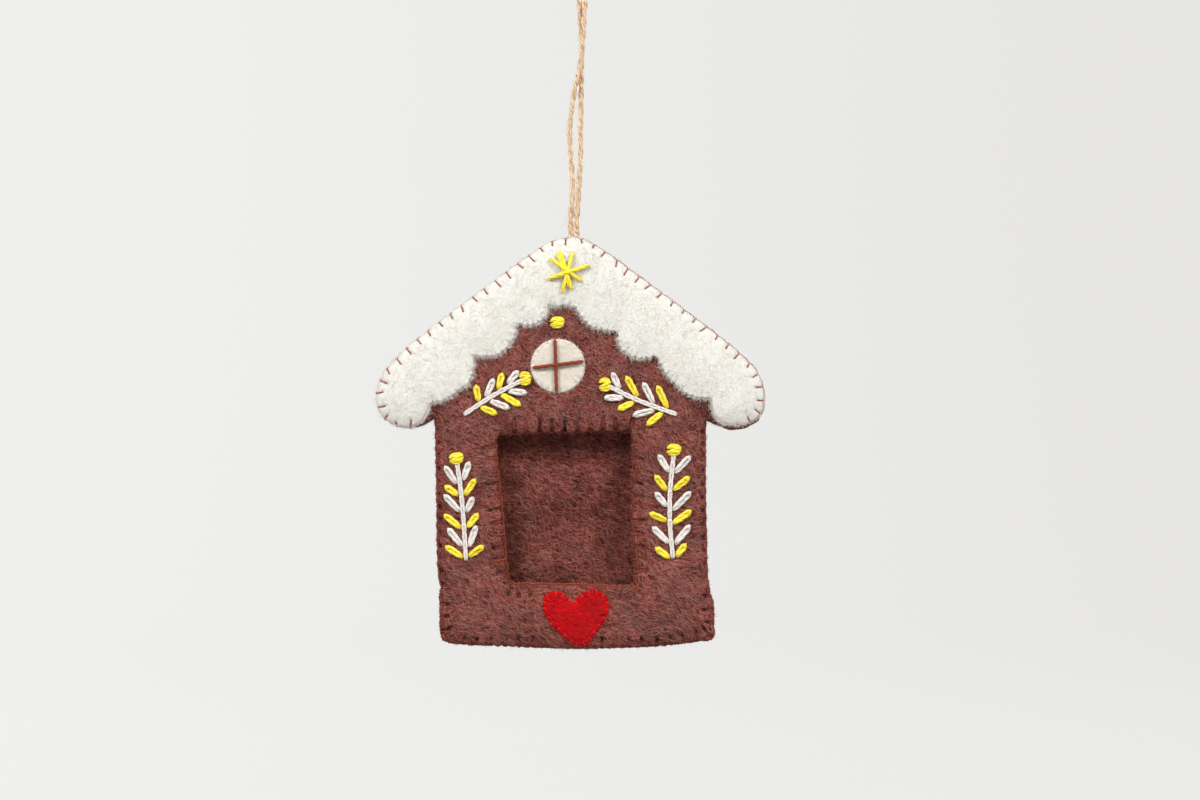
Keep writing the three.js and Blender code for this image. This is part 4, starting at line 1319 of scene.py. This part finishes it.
# %% Twine anchor
ANCHOR_TWINE = 1.12  # of the twine's thickness, as it is looser there
ANCHOR_STRAIGHT = 5 * MM
KNOT_DOWN = 9.3 * MM
TAIL_DOWN = 10.8 * MM
ANCHOR_STEPS = 40
ANCHOR_ASIDE = (0.8, 1.07, 1.6)  # millimetres to the side at the knot, under it, and at the end
ANCHOR_KNOT = (1.6 * MM, 1.5 * MM)
anchor_low, anchor_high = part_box("twine_anchor")
anchor_x = (TWINE_ROUTE[0][0] + TWINE_ROUTE[-1][0]) / 2
anchor_paths = []
for end in (TWINE_ROUTE[0], TWINE_ROUTE[-1]):
    side = np.sign(end[0] - anchor_x) * MM
    places = [
        (end[0], 0, TWINE_ROUTE[0][2] + TWINE_OVERLAP),
        (end[0], 0, anchor_high.z - ANCHOR_STRAIGHT),
        (anchor_x + side * ANCHOR_ASIDE[0], 0, anchor_high.z - KNOT_DOWN),
        (anchor_x + side * ANCHOR_ASIDE[1], 0, anchor_high.z - TAIL_DOWN),
        (anchor_x + side * ANCHOR_ASIDE[2], 0, anchor_low.z),
    ]
    anchor_paths.append(even_steps(smooth(places, TWINE_STEP), ANCHOR_STEPS))
angle = np.linspace(0, 2 * np.pi, ANCHOR_STEPS)
ring = np.stack([ANCHOR_KNOT[0] * np.cos(angle), ANCHOR_KNOT[1] * np.sin(angle)], axis=1)
anchor_paths.append(in_space(ring + (anchor_x, anchor_high.z - KNOT_DOWN), 0))
anchor = strands(anchor_paths, TWINE * ANCHOR_TWINE, 2, TWINE_LAY, TWINE_CORNERS)
make_piece("jute_anchor", "house", "jute_twine", ["twine_anchor"], *anchor)

# %% [markdown]
# ## Loose fibres
#
# Felt is a mat of wool fibres that lie in every direction, and some of them stand off the
# surface. Each is a thin three-sided hair that comes to a point at both ends, a few millimetres
# long, gently curved. There are thousands, so each has only a couple of dozen faces, and all of
# one colour are one mesh. A number kept on each hair lets the material vary its shade. Real wool
# is 0.02 mm thick, which is too fine to show, so the hairs are two or three times that.

# %% Hairs
HAIR_POINTS = 6
COARSE_HAIR = 0.055 * MM
FINE_HAIR = 0.04 * MM
JUTE_HAIR = 0.05 * MM
SHARE = np.linspace(0, 1, HAIR_POINTS)
ALMOST_BACK = (0.03, 1, 0.02)  # a direction that no hair runs along


def hairs(paths, thickness):
    """Hairs along many paths: a ring of three points round each inner point, and a point at each end."""
    count, steps = paths.shape[:2]
    ahead = unit(np.gradient(paths, axis=1))
    across = unit(np.cross(ahead, ALMOST_BACK))
    up = np.cross(ahead, across)
    turn = 2 * np.pi * np.arange(3)[:, None] / 3
    ring = np.cos(turn) * across[:, 1:-1, None] + np.sin(turn) * up[:, 1:-1, None]
    ring = paths[:, 1:-1, None] + thickness / 2 * ring
    points = np.concatenate([paths[:, :1], ring.reshape(count, -1, 3), paths[:, -1:]], axis=1)
    size = points.shape[1]
    one = []
    for k, beside in ((0, 1), (1, 2), (2, 0)):
        one.append((0, 1 + beside, 1 + k))
        for here in range(1, 3 * (steps - 3), 3):
            there = here + 3
            one += [(here + k, here + beside, there + beside), (here + k, there + beside, there + k)]
        one.append((size - 4 + k, size - 4 + beside, size - 1))
    faces = np.array(one)[None] + size * np.arange(count)[:, None, None]
    return points.reshape(-1, 3), faces.reshape(-1, 3), size


def hair_piece(name, slot, thickness, *parts, body="house"):
    """Hairs as one piece, with a shade for each of them."""
    paths = np.concatenate(parts)
    points, faces, size = hairs(paths, thickness)
    piece = make_piece(name, body, slot, [], points, faces)
    keep_values(piece, "shade", np.repeat(chance.uniform(0, 1, len(paths)), size))


def wander(start, angle, step):
    """Places along each hair: one step after the other from its start, each at its own angle."""
    ahead = np.stack([np.cos(angle), np.sin(angle)], axis=-1)
    return start[:, None] + np.cumsum(ahead, axis=1) * step[..., None]


# %% [markdown]
# Most hairs lie on the felt. On the brown felt they run down to the right, more wildly so in the
# gable, and on the white felt they lie every way, as the photograph shows.

# %% Hairs that lie on felt
HAIR_LENGTHS = (0.5, 1.3)  # the shortest and the longest, as shares of the given length
HAIR_BEND = 0.55  # radians
HAIR_WAVE = 0.25
HAIR_RISES = (2, 0.5)  # shape and scale of their spread: many are low and a few high
ROOT = 0.03 * MM  # how deep the ends of a hair are in the felt
NAP = math.radians(-24)
NAP_WANDER = 0.55
COMBED = 0.42  # how many radians the fibres differ by, below the window's top and above it
WILD = 1.1
NAP_FINER = 0.35  # the waves of the nap are about three times as long as the ripple's


def nap(places):
    """The way fibres of the brown felt lie: the nap, plus slow waves, plus chance."""
    wild = np.where(places[:, 1] > window_top, WILD, COMBED)
    return NAP + NAP_WANDER * ripple(places * NAP_FINER, 21) + chance.normal(0, 1, len(places)) * wild


def every_way(places):
    """Fibres that lie in all directions."""
    return chance.uniform(0, 2 * np.pi, len(places))


def lying(surface, loops, places, length, height, heading=every_way):
    """Hairs that lie on a surface, inside outlines: their ends are in it and their middles off it."""
    count = len(places)
    size = length * chance.uniform(*HAIR_LENGTHS, (count, 1))
    wave = chance.uniform(0, 2 * np.pi, (count, 1))
    bend = chance.normal(0, HAIR_BEND, (count, 1)) * (SHARE - 0.5)
    angle = heading(places)[:, None] + bend * 2 + HAIR_WAVE * np.sin(2 * np.pi * SHARE + wave)
    flat = wander(places, angle, size / (HAIR_POINTS - 1))
    flat = flat[inside(loops, flat[:, -1]) & inside(loops, flat[:, HAIR_POINTS // 2])]
    paths = surface(flat)
    rise = height * chance.gamma(*HAIR_RISES, (len(flat), 1))
    paths[..., 1] -= rise * np.sin(np.pi * SHARE) - ROOT
    return paths


def scattered(loops, count, margin=0.0):
    """Places scattered evenly inside outlines."""
    places = chance.uniform(loops[0].min(axis=0), loops[0].max(axis=0), (count * 3, 2))
    places = places[inside(loops, places)]
    return places[distance_to(loops, places) > margin][:count]


def on_open_face(count):
    """Places scattered on the face where no patch and no snow covers it."""
    places = scattered(face.loops, count)
    covered = [inside(sheet.loops, places) for sheet in (snow, disc, heart)]
    return places[~np.any(covered, axis=0)]


# %% [markdown]
# The rest stand out of the cut edges, like the fringe of a rug, and some brown ones lie over the
# hem of the snow, where they soften its border. Each call below says how many, where, how long,
# and how high they rise.

# %% Hairs at the edges
FRINGE_TURN = 0.75  # how many radians their starts differ by, and their ends from their starts
FRINGE_BEND = 0.8
FRINGE_LENGTHS = (2.2, 0.4)  # shape and scale: many are short and a few long
FRINGE_SLANT = 0.35  # of its length, by which a hair's end lies before or behind its start
DEEP = 1 * MM  # how far inside an outline a hair has to start
BESIDE_HEM = 0.5 * MM
HEM_TURN = 0.6


def fringe(sheet, loops, count, depth, length, within=None):
    """Hairs that start at a cut edge of a sheet, where it lies within outlines, and stand out."""
    edge, after = np.concatenate(loops), next_points(loops)
    if within is None:
        pick = chance.integers(0, len(edge), count)
    else:
        deep = inside(within, edge) & (distance_to(within, edge) > DEEP)
        pick = chance.choice(np.flatnonzero(deep), count)
    slide = chance.uniform(0, 1, (count, 1))
    start = sheet.drawn_in(edge[pick] * (1 - slide) + after[pick] * slide)
    ahead = after[pick] - edge[pick]
    heading = np.arctan2(-ahead[:, 0], ahead[:, 1])[:, None]
    heading = heading + chance.normal(0, FRINGE_TURN, (count, 1))
    bend = heading + chance.normal(0, FRINGE_BEND, (count, 1)) * SHARE
    size = length * chance.gamma(*FRINGE_LENGTHS, (count, 1))
    flat = wander(start, bend, size / (HAIR_POINTS - 1))
    flat -= flat[:, :1] - start[:, None]
    y = chance.uniform(*depth, (count, 1)) + chance.normal(0, FRINGE_SLANT, (count, 1)) * size * SHARE
    return in_space(flat, y)


def over_border(count):
    """Brown hairs that start beside the snow's hem and lie over it."""
    hem = snow.loops[0]
    outwards = -left_of(unit(np.roll(hem, -1, axis=0) - hem))
    beside = hem + outwards * BESIDE_HEM
    on_brown = np.flatnonzero(inside(face.loops, beside) & (distance_to(face.loops, beside) > DEEP))
    pick = chance.choice(on_brown, count)
    inwards = np.arctan2(-outwards[pick, 1], -outwards[pick, 0])
    return lying(
        in_front, face.loops, beside[pick], 1.8 * MM, 0.15 * MM,
        lambda places: inwards + chance.normal(0, HEM_TURN, count),
    )


# %% Brown fibres
OFF_BACK = 0.12 * MM


def off_back(places):
    """Just behind the back sheet, so that hairs lie on it."""
    return back.behind(places) + (0, OFF_BACK, 0)


brown = on_open_face(9400)[:8200]
brown = lying(face.before, face.loops, brown, 3.6 * MM, 0.13 * MM, nap)
hair_piece("face_fibres", "brown_felt", COARSE_HAIR, brown)
in_recess = scattered(face.loops[1:], 1300)
recess = lying(back.before, back.loops, in_recess, 3.4 * MM, 0.13 * MM, nap)
behind = lying(off_back, back.loops, scattered(back.loops, 3400), 3.4 * MM, 0.12 * MM, nap)
long = lying(face.before, face.loops, on_open_face(2400), 6 * MM, 0.2 * MM, nap)
hair_piece("more_brown_fibres", "brown_felt", COARSE_HAIR, recess, behind, over_border(200), long)
hair_piece(
    "brown_fringe", "brown_felt", FINE_HAIR,
    fringe(face, face.loops[:1], 4600, (face.front * 0.75, back.back * 0.75), 0.45 * MM),
    fringe(face, face.loops[1:], 1200, (face.front * 0.9, lining.back * 0.8), 0.45 * MM),
)

# %% White and red fibres
hair_piece(
    "white_fibres", "white_felt", FINE_HAIR,
    lying(snow.before, snow.loops, scattered(snow.loops, 4600), 2.8 * MM, 0.14 * MM),
    lying(on_disc, disc.loops, scattered(disc.loops, 400), 2.4 * MM, 0.1 * MM),
)
hair_piece(
    "white_fringe", "white_felt", FINE_HAIR,
    fringe(snow, snow.loops, 7600, (snow.front * 0.92, snow.back * 0.9), 0.6 * MM),
    fringe(disc, disc.loops, 420, (disc.front, disc.back), 0.35 * MM),
)
hem_depths = (snow.front * 1.03, snow.front * 0.85)
hem = fringe(snow, snow.loops, 4200, hem_depths, 0.65 * MM, face.loops)
hair_piece("hem_fringe", "white_felt", FINE_HAIR, hem)
on_heart = scattered(heart.loops, 900, 0.4 * MM)
hair_piece(
    "red_fibres", "red_felt", FINE_HAIR,
    lying(heart.before, heart.loops, on_heart, 2.2 * MM, 0.12 * MM, nap),
    fringe(heart, heart.loops, 700, (heart.front, heart.back), 0.45 * MM),
)

# %% [markdown]
# Jute is a coarse, stiff fibre that comes loose from the twine at a low angle, so its hairs run
# along the twine and lift off it slowly. Each is a distance along the twine, and one out from it.

# %% Jute fibres
JUTE_HAIRS = 420
JUTE_ROOT = 0.42  # of the twine's thickness, from its middle
JUTE_LIFT = (1.4, 0.22)  # shape and scale of how far their ends stand off
JUTE_REACH = (1.5 * MM, 4.5 * MM)  # along the twine
JUTE_TURN = 0.5
one_each = (JUTE_HAIRS, 1)
pick = chance.integers(4, len(twine_path) - 4, JUTE_HAIRS)
around = chance.uniform(0, 2 * np.pi, one_each)
out = TWINE * (JUTE_ROOT + chance.gamma(*JUTE_LIFT, one_each) * SHARE**1.5)
climb = chance.choice([-1, 1], one_each) * chance.uniform(*JUTE_REACH, one_each) * SHARE
around = around + chance.normal(0, JUTE_TURN, one_each) * SHARE
across = np.cross((0, 1, 0), unit(np.gradient(twine_path, axis=0)))
reach = twine_run[pick, None] + climb
jute = at(reach, twine_run, twine_path)
jute += (out * np.cos(around))[..., None] * at(reach, twine_run, across)
jute[..., 1] += out * np.sin(around)
hair_piece("jute_fibres", "jute_twine", JUTE_HAIR, jute, body="loop")

# %% [markdown]
# ## Materials
#
# Wool, cotton and jute are all matt, so colour and relief do the work. A small function adds each
# node of a material, with its settings and what goes into its sockets, and another turns colours
# as they are written for screens into the linear ones that Blender works in.

# %% Nodes and colours
FACTOR, FIRST, SECOND, BLEND = 0, 6, 7, 2  # sockets of the node that mixes colours


def linear(hex_colour):
    """An sRGB colour such as "7a4a42" as linear red, green, blue and alpha."""
    values = [int(hex_colour[i : i + 2], 16) / 255 for i in (0, 2, 4)]
    return (*[v / 12.92 if v <= 0.04045 else ((v + 0.055) / 1.055) ** 2.4 for v in values], 1.0)


def add(tree, kind, inputs, output=0, **settings):
    """Adds a node with its settings, and gives one of its outputs.

    Each input is a value, or the output of another node, which is linked to it."""
    node = tree.nodes.new(f"ShaderNode{kind}")
    for setting, value in settings.items():
        setattr(node, setting, value)
    for socket, value in inputs.items():
        if isinstance(value, bpy.types.NodeSocket):
            tree.links.new(value, node.inputs[socket])
            continue
        node.inputs[socket].default_value = value
    return node.outputs[output] if node.outputs else None


def new_material(name, **values):
    """A material, its node tree, and its shader with the given socket values."""
    material = bpy.data.materials.new(name)
    material.use_nodes = True
    tree = material.node_tree
    shader = tree.nodes["Principled BSDF"]
    for socket, value in values.items():
        shader.inputs[socket.replace("_", " ")].default_value = value
    return material, tree, shader


# %% [markdown]
# ## Wool felt
#
# Felt is heathered: fibres of a lighter and a darker shade run through it in every direction.
# Noise that is stretched along one direction gives streaks, and four of them, each turned, give a
# mat. The highest of the four is a light fibre on top, and the lowest a darker fibre with painted
# shade in the gaps between fibres.

# %% Wool felt
ALL_WAYS = (14, 57, 103, 151)  # degrees from upright
NAPPED = (82, 104, 126, 168)  # most of them down to the right
FIBRE_WIDTH = 0.32 * MM  # coarser than the real 0.02 mm, so that the fibres show
FIBRE_LENGTH = 3.4 * MM
FIBRE_BEND = 1.3 * MM
FIBRE_RELIEF = 0.35
BEND_SIZE = 2.5 * MM  # the size of the waves that bend the fibres
MOTTLE_SIZE = 6.25 * MM  # and of the patches where the dye took more


def wool_felt(
    name, deep, dark, middle, light, angles=ALL_WAYS, contrast=1.0, sheen=0.1, relief=FIBRE_RELIEF,
):
    """Wool felt: matt, heathered, with painted shade in its dimples and a soft fuzz that catches the
    light.
    """
    material, tree, shader = new_material(
        name, Roughness=0.95, Specular_IOR_Level=0.12, Sheen_Weight=sheen, Sheen_Roughness=0.5,
        Sheen_Tint=linear(light),
    )
    where = add(tree, "TexCoord", {}, "Object")
    waves = add(tree, "TexNoise", {"Scale": 1 / BEND_SIZE, "Detail": 2.0, "Vector": where}, "Color")
    bent = add(tree, "VectorMath", {0: waves, 1: (FIBRE_BEND,) * 3, 2: where}, operation="MULTIPLY_ADD")
    high = low = None
    for angle in angles:
        turned = {
            "Rotation": (0, math.radians(angle), 0),
            "Scale": (FIBRE_WIDTH, FIBRE_WIDTH, FIBRE_LENGTH),
            "Vector": bent,
        }
        turned = add(tree, "Mapping", turned, vector_type="TEXTURE")
        streaks = add(tree, "TexNoise", {"Scale": 1.0, "Detail": 1.5, "Vector": turned})
        if high is None:
            high = low = streaks
            continue
        high = add(tree, "Math", {0: high, 1: streaks}, operation="MAXIMUM")
        low = add(tree, "Math", {0: low, 1: streaks}, operation="MINIMUM")
    mottle = add(tree, "TexNoise", {"Scale": 1 / MOTTLE_SIZE, "Detail": 3.0, "Vector": where})
    pressed = add(tree, "Attribute", {}, "Fac", attribute_name="pressed")
    colour = linear(middle)
    for source, nothing, whole, most, shade in (
        (low, 0.42, 0.28, contrast, dark),
        (high, 0.58, 0.76, contrast, light),
        (mottle, 0.35, 0.65, 0.35 * contrast, dark),
        # Painted shade: where stitches press grooves and holes, the felt darkens towards its deep colour.
        (pressed, 0.06, 0.8, 0.8, deep),
    ):
        share = {"Value": source, "From Min": nothing, "From Max": whole, "To Max": most}
        share = add(tree, "MapRange", share)
        colour = {FACTOR: share, FIRST: colour, SECOND: linear(shade)}
        colour = add(tree, "Mix", colour, BLEND, data_type="RGBA")
    tree.links.new(colour, shader.inputs["Base Color"])
    heights = add(tree, "Math", {0: high, 1: low}, operation="ADD")
    bump = add(tree, "Bump", {"Strength": 0.7, "Distance": relief * MM, "Height": heights})
    tree.links.new(bump, shader.inputs["Normal"])
    return material


# %% [markdown]
# ## Fibres and threads
#
# A loose fibre is too thin to show a pattern, so it has one shade. A spun thread shows the fibres
# of its plies, which run along it: noise on its UV map, finer round the ply than along it, is the
# fibres' own tone, with a painted highlight on their backs and painted shade between them.

# %% Fibres and threads
def loose_fibre(name, dark, light):
    """A loose fibre: one shade for each, between two."""
    material, tree, shader = new_material(name, Roughness=0.85, Specular_IOR_Level=0.2, Sheen_Weight=0.2)
    shade = add(tree, "Attribute", {}, "Fac", attribute_name="shade")
    colour = {FACTOR: shade, FIRST: linear(dark), SECOND: linear(light)}
    colour = add(tree, "Mix", colour, BLEND, data_type="RGBA")
    tree.links.new(colour, shader.inputs["Base Color"])
    return material


def stranded(name, dark, light, roughness, across=5, stretch=1.2, depth=0.04):
    """A spun thread, with as many fibres across a ply, and in a millimetre along it.

    depth is how far they stand out, in millimetres."""
    material, tree, shader = new_material(
        name, Roughness=roughness, Specular_IOR_Level=0.3, Sheen_Weight=0.2, Sheen_Roughness=0.4,
    )
    uv = add(tree, "UVMap", {}, uv_map="fibres")
    drawn = add(tree, "Mapping", {"Scale": (across, stretch, 1.0), "Vector": uv})
    fibres = add(tree, "TexNoise", {"Scale": 1.0, "Detail": 2.0, "Distortion": 0.3, "Vector": drawn})
    spread = add(tree, "MapRange", {"Value": fibres, "From Min": 0.3, "From Max": 0.68})
    # The two colours are the fibres' tone, with painted highlight on their backs and painted shade between
    # them.
    colour = {FACTOR: spread, FIRST: linear(dark), SECOND: linear(light)}
    colour = add(tree, "Mix", colour, BLEND, data_type="RGBA")
    tree.links.new(colour, shader.inputs["Base Color"])
    bump = add(tree, "Bump", {"Strength": 0.6, "Distance": depth * MM, "Height": fibres})
    tree.links.new(bump, shader.inputs["Normal"])
    return material


# %% The felts
# The first colour of each felt is painted shade, for the grooves and holes that stitches press.
# Brown wool, dyed in the fleece: streaks of pinkish light fibre over a dark ground, no gloss.
brown = ("37130e", "7f3d35", "b06a5e")
brown_felt = wool_felt("heathered_brown_wool_felt", "260c0a", *brown, NAPPED, 1.4, 0.03)
# The back sheet is painted a darker brown all over: painted shade, so the recess reads as further away.
deeper = ("2e0f0b", "70362e", "9c5a50")
painted_shade_felt = wool_felt("brown_wool_felt_painted_shade", "200a08", *deeper, NAPPED, 1.4, 0.03)
# Undyed white wool: even and bright, its fibres shown by relief more than by colour.
white = ("cfc9be", "e2e0d9", "eeece8")
white_felt = wool_felt("natural_white_wool_felt", "bcb3a8", *white, contrast=0.7, relief=0.22)
# The round window is a creamier white, which sets it off from the snow.
cream = ("c8bdae", "e1d8ca", "eae3d8")
cream_felt = wool_felt("cream_wool_felt", "b3a696", *cream, contrast=0.7)
# Bright red wool: deep and saturated, without a fuzz that would turn it pink.
red_felt = wool_felt("red_wool_felt", "5a0307", "860006", "d2000b", "e20f17", NAPPED, 1.1, 0.0)
# Polyester wadding, carded and loose: pale, with hardly any pattern.
filling = wool_felt("polyester_wadding", "c0bab0", "d8d2c6", "ece8df", "f7f5f0", contrast=0.5)

# %% The threads and the fibres
# Mercerised sewing cotton has a low satin shine and crisp plies. Rust, redwood and brown ones
# read as darker lines on the felt.
rust_cotton = stranded("rust_cotton_floss", "6c2610", "a04622", 0.6)
roof_cotton = stranded("redwood_cotton_floss", "74281c", "b85644", 0.6)
brown_cotton = stranded("brown_cotton_floss", "5e2419", "ad5a48", 0.65)
red_cotton = stranded("red_cotton_floss", "c4281c", "f0523a", 0.55)
# Embroidery cotton is smoother and brighter, so the sprigs and the star stand out cleanly.
white_cotton = stranded("white_cotton_floss", "cfc5bd", "faf6f3", 0.55, stretch=1.0, depth=0.05)
yellow_cotton = stranded("yellow_cotton_floss", "f2d224", "fff452", 0.5, stretch=1.0, depth=0.05)
# Spun jute is coarse and dry: straw-coloured, with painted shade in the dark gaps between its thick fibres
# and painted highlight on them.
jute = stranded("spun_jute", "a67a4c", "f5dfc0", 0.8, 8, 0.6, 0.14)
# Loose fibres catch the light one by one, so they run from darker than their felt to lighter.
brown_fibre = loose_fibre("brown_wool_fibre", "4a1c17", "d29a8e")
white_fibre = loose_fibre("white_wool_fibre", "e2ded4", "f5f4f0")
red_fibre = loose_fibre("red_wool_fibre", "98040a", "dc1a20")
jute_fibre = loose_fibre("loose_jute_fibre", "cfa97c", "fbf0dc")

# %% Dress the pieces
BY_SLOT = {
    "brown_felt": brown_felt, "white_felt": white_felt, "red_felt": red_felt, "wadding": filling,
    "rust_thread": rust_cotton, "brown_thread": brown_cotton, "white_thread": white_cotton,
    "yellow_thread": yellow_cotton, "jute_twine": jute,
}
BY_NAME = {
    # back_felt takes the brown felt painted darker as shade for the recess.
    "back_felt": painted_shade_felt, "heart_thread": red_cotton, "snow_hem_thread": white_felt,
    "round_window_thread": cream_felt, "round_window_felt": cream_felt,
    "roof_edge_thread": roof_cotton, "face_fibres": brown_fibre, "more_brown_fibres": brown_fibre,
    "brown_fringe": brown_fibre, "white_fibres": white_fibre, "white_fringe": white_fibre,
    "hem_fringe": white_fibre, "red_fibres": red_fibre, "jute_fibres": jute_fibre,
}
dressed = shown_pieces()
for piece in dressed:
    piece.data.materials.clear()
    piece.data.materials.append(BY_NAME.get(piece.name) or BY_SLOT[piece["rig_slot"]])
print(f"{len(dressed)} pieces have a material")

# %% [markdown]
# ## The backdrop
#
# The photograph is high-key: a pale seamless backdrop far behind the ornament. The backdrop is
# paper that curves up out of the floor all round, a profile turned about the upright axis, so
# that no edge of it shows from any side.

# %% Backdrop
FLOOR = -0.30
SWEEP_RADIUS = 0.6
ROOM_RADIUS = 2.1
WALL_TOP = 1.1
AROUND = 72
SWEEP_STEPS = 24
bend = np.linspace(0, np.pi / 2, SWEEP_STEPS)
sweep = ROOM_RADIUS - SWEEP_RADIUS * (1 - np.sin(bend))
out = np.concatenate([[ROOM_RADIUS / 2], sweep, [ROOM_RADIUS]])
up = np.concatenate([[FLOOR], FLOOR + SWEEP_RADIUS * (1 - np.cos(bend)), [WALL_TOP]])
turn = 2 * np.pi * np.arange(AROUND)[:, None] / AROUND
rings = [np.cos(turn) * out, np.sin(turn) * out, np.broadcast_to(up, (AROUND, len(up)))]
points = np.concatenate([np.stack(rings, axis=2).reshape(-1, 3), [(0, 0, FLOOR)]])
number = np.arange(AROUND * len(up)).reshape(AROUND, len(up))
beside = np.roll(number, -1, axis=0)
walls = np.stack([number[:, :-1], number[:, 1:], beside[:, 1:], beside[:, :-1]], axis=-1)
floor = np.stack([number[:, 0], beside[:, 0], np.full(AROUND, number.size)], axis=1)
mesh = bpy.data.meshes.new("backdrop")
mesh.from_pydata(points.tolist(), [], walls.reshape(-1, 4).tolist() + floor.tolist())
mesh.shade_smooth()
backdrop = bpy.data.objects.new("backdrop", mesh)
scene.collection.objects.link(backdrop)
backdrop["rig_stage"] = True
print(f"a backdrop of {len(mesh.polygons)} faces")

# %% [markdown]
# Seamless paper is matt. What the camera sees of it is mostly its own colour, so that it stays
# evenly pale whatever the lamps do, and a little of it takes the light and the shadow. That colour
# is painted with shade, lighter on the left and darker on the right.

# %% Seamless paper
BACKDROP_COLOUR = "efeeec"
PAPER_COLOUR = "b4b4b2"  # what the lamps light, duller so that little light comes back from it
SEEN_SHARE = 0.95  # of what the camera sees is the paper's own colour
SIDE = 1.2  # the colours run over this far to each side
material, tree, _ = new_material("seamless_paper")
tree.nodes.clear()
where = add(tree, "TexCoord", {}, "Object")
aside = add(tree, "SeparateXYZ", {0: where})
aside = add(tree, "MapRange", {"Value": aside, "From Min": -SIDE, "From Max": SIDE})
painted_side_shade = add(tree, "ValToRGB", {0: aside})
stops = painted_side_shade.node.color_ramp.elements
# Painted shade on the paper's own colour: lighter left of the middle, darker right of it.
for spot, colour in ((0.3, "f4f4f2"), (0.7, "ebeae8")):
    stops.new(spot).color = linear(colour)
for end in (0, -1):
    stops[end].color = linear(BACKDROP_COLOUR)
paper = add(tree, "BsdfDiffuse", {"Color": linear(PAPER_COLOUR)})
glow = add(tree, "Emission", {"Strength": 1.0, "Color": painted_side_shade})
seen = add(tree, "LightPath", {}, "Is Camera Ray")
seen = add(tree, "Math", {0: seen, 1: SEEN_SHARE}, operation="MULTIPLY")
both = add(tree, "MixShader", {0: seen, 1: paper, 2: glow})
add(tree, "OutputMaterial", {"Surface": both})
mesh.materials.append(material)

# %% [markdown]
# ## The light
#
# Two large soft lamps stand in front, above on the left and on the right, and two weaker ones
# light the back. The room itself gives a soft light that is stronger from above, and so fills the
# recess of the window gently.

# %% Room light
ROOM_LIGHT = {"From Min": -0.4, "From Max": 1.0, "To Min": 0.14, "To Max": 0.48}
world = bpy.data.worlds.new("studio")
scene.world = world
world.use_nodes = True
tree = world.node_tree
tree.nodes.clear()
ray = add(tree, "LightPath", {}, "Is Camera Ray")
where = add(tree, "TexCoord", {})
height = add(tree, "SeparateXYZ", {0: where}, 2)
level = add(tree, "MapRange", {"Value": height, **ROOM_LIGHT})
ambient = add(tree, "Background", {"Color": linear("f4f3f2"), "Strength": level})
shown = add(tree, "Background", {"Color": linear(BACKDROP_COLOUR), "Strength": 1.0})
both = add(tree, "MixShader", {0: ray, 1: ambient, 2: shown})
add(tree, "OutputWorld", {"Surface": both})

# %% Lamps
HOUSE_MIDDLE = Vector((0, 0, -0.13))
LAMPS = {  # the place in metres, the width of the soft front, and the power in watts
    "upper_left_light": ((-0.58, -0.58, 0.46), 0.34, 8.0),
    "upper_right_light": ((0.58, -0.56, 0.45), 0.34, 7.1),
    "back_left_light": ((-0.75, 0.72, 0.08), 0.5, 3.8),
    "back_right_light": ((0.75, 0.72, 0.08), 0.5, 3.8),
}
for name, (place, size, power) in LAMPS.items():
    light = bpy.data.lights.new(name, "AREA")
    light.shape = "SQUARE"
    light.size = size
    light.energy = power
    lamp = bpy.data.objects.new(name, light)
    scene.collection.objects.link(lamp)
    lamp.location = place
    lamp.rotation_euler = (HOUSE_MIDDLE - Vector(place)).to_track_quat("-Z", "Y").to_euler()
scene.view_settings.view_transform = "Standard"
print(f"{len(LAMPS)} lamps")

# %% [markdown]
# ## Measure and finish
#
# Soft felt and loose wool may stand a little proud of the pattern, but not far. The sizes of both
# boxes are printed.

# %% Measure and finish
visual_low, visual_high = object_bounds()
for name, size in (("CAD", cad_high - cad_low), ("visual", visual_high - visual_low)):
    print(name, [round(v / MM, 1) for v in size])
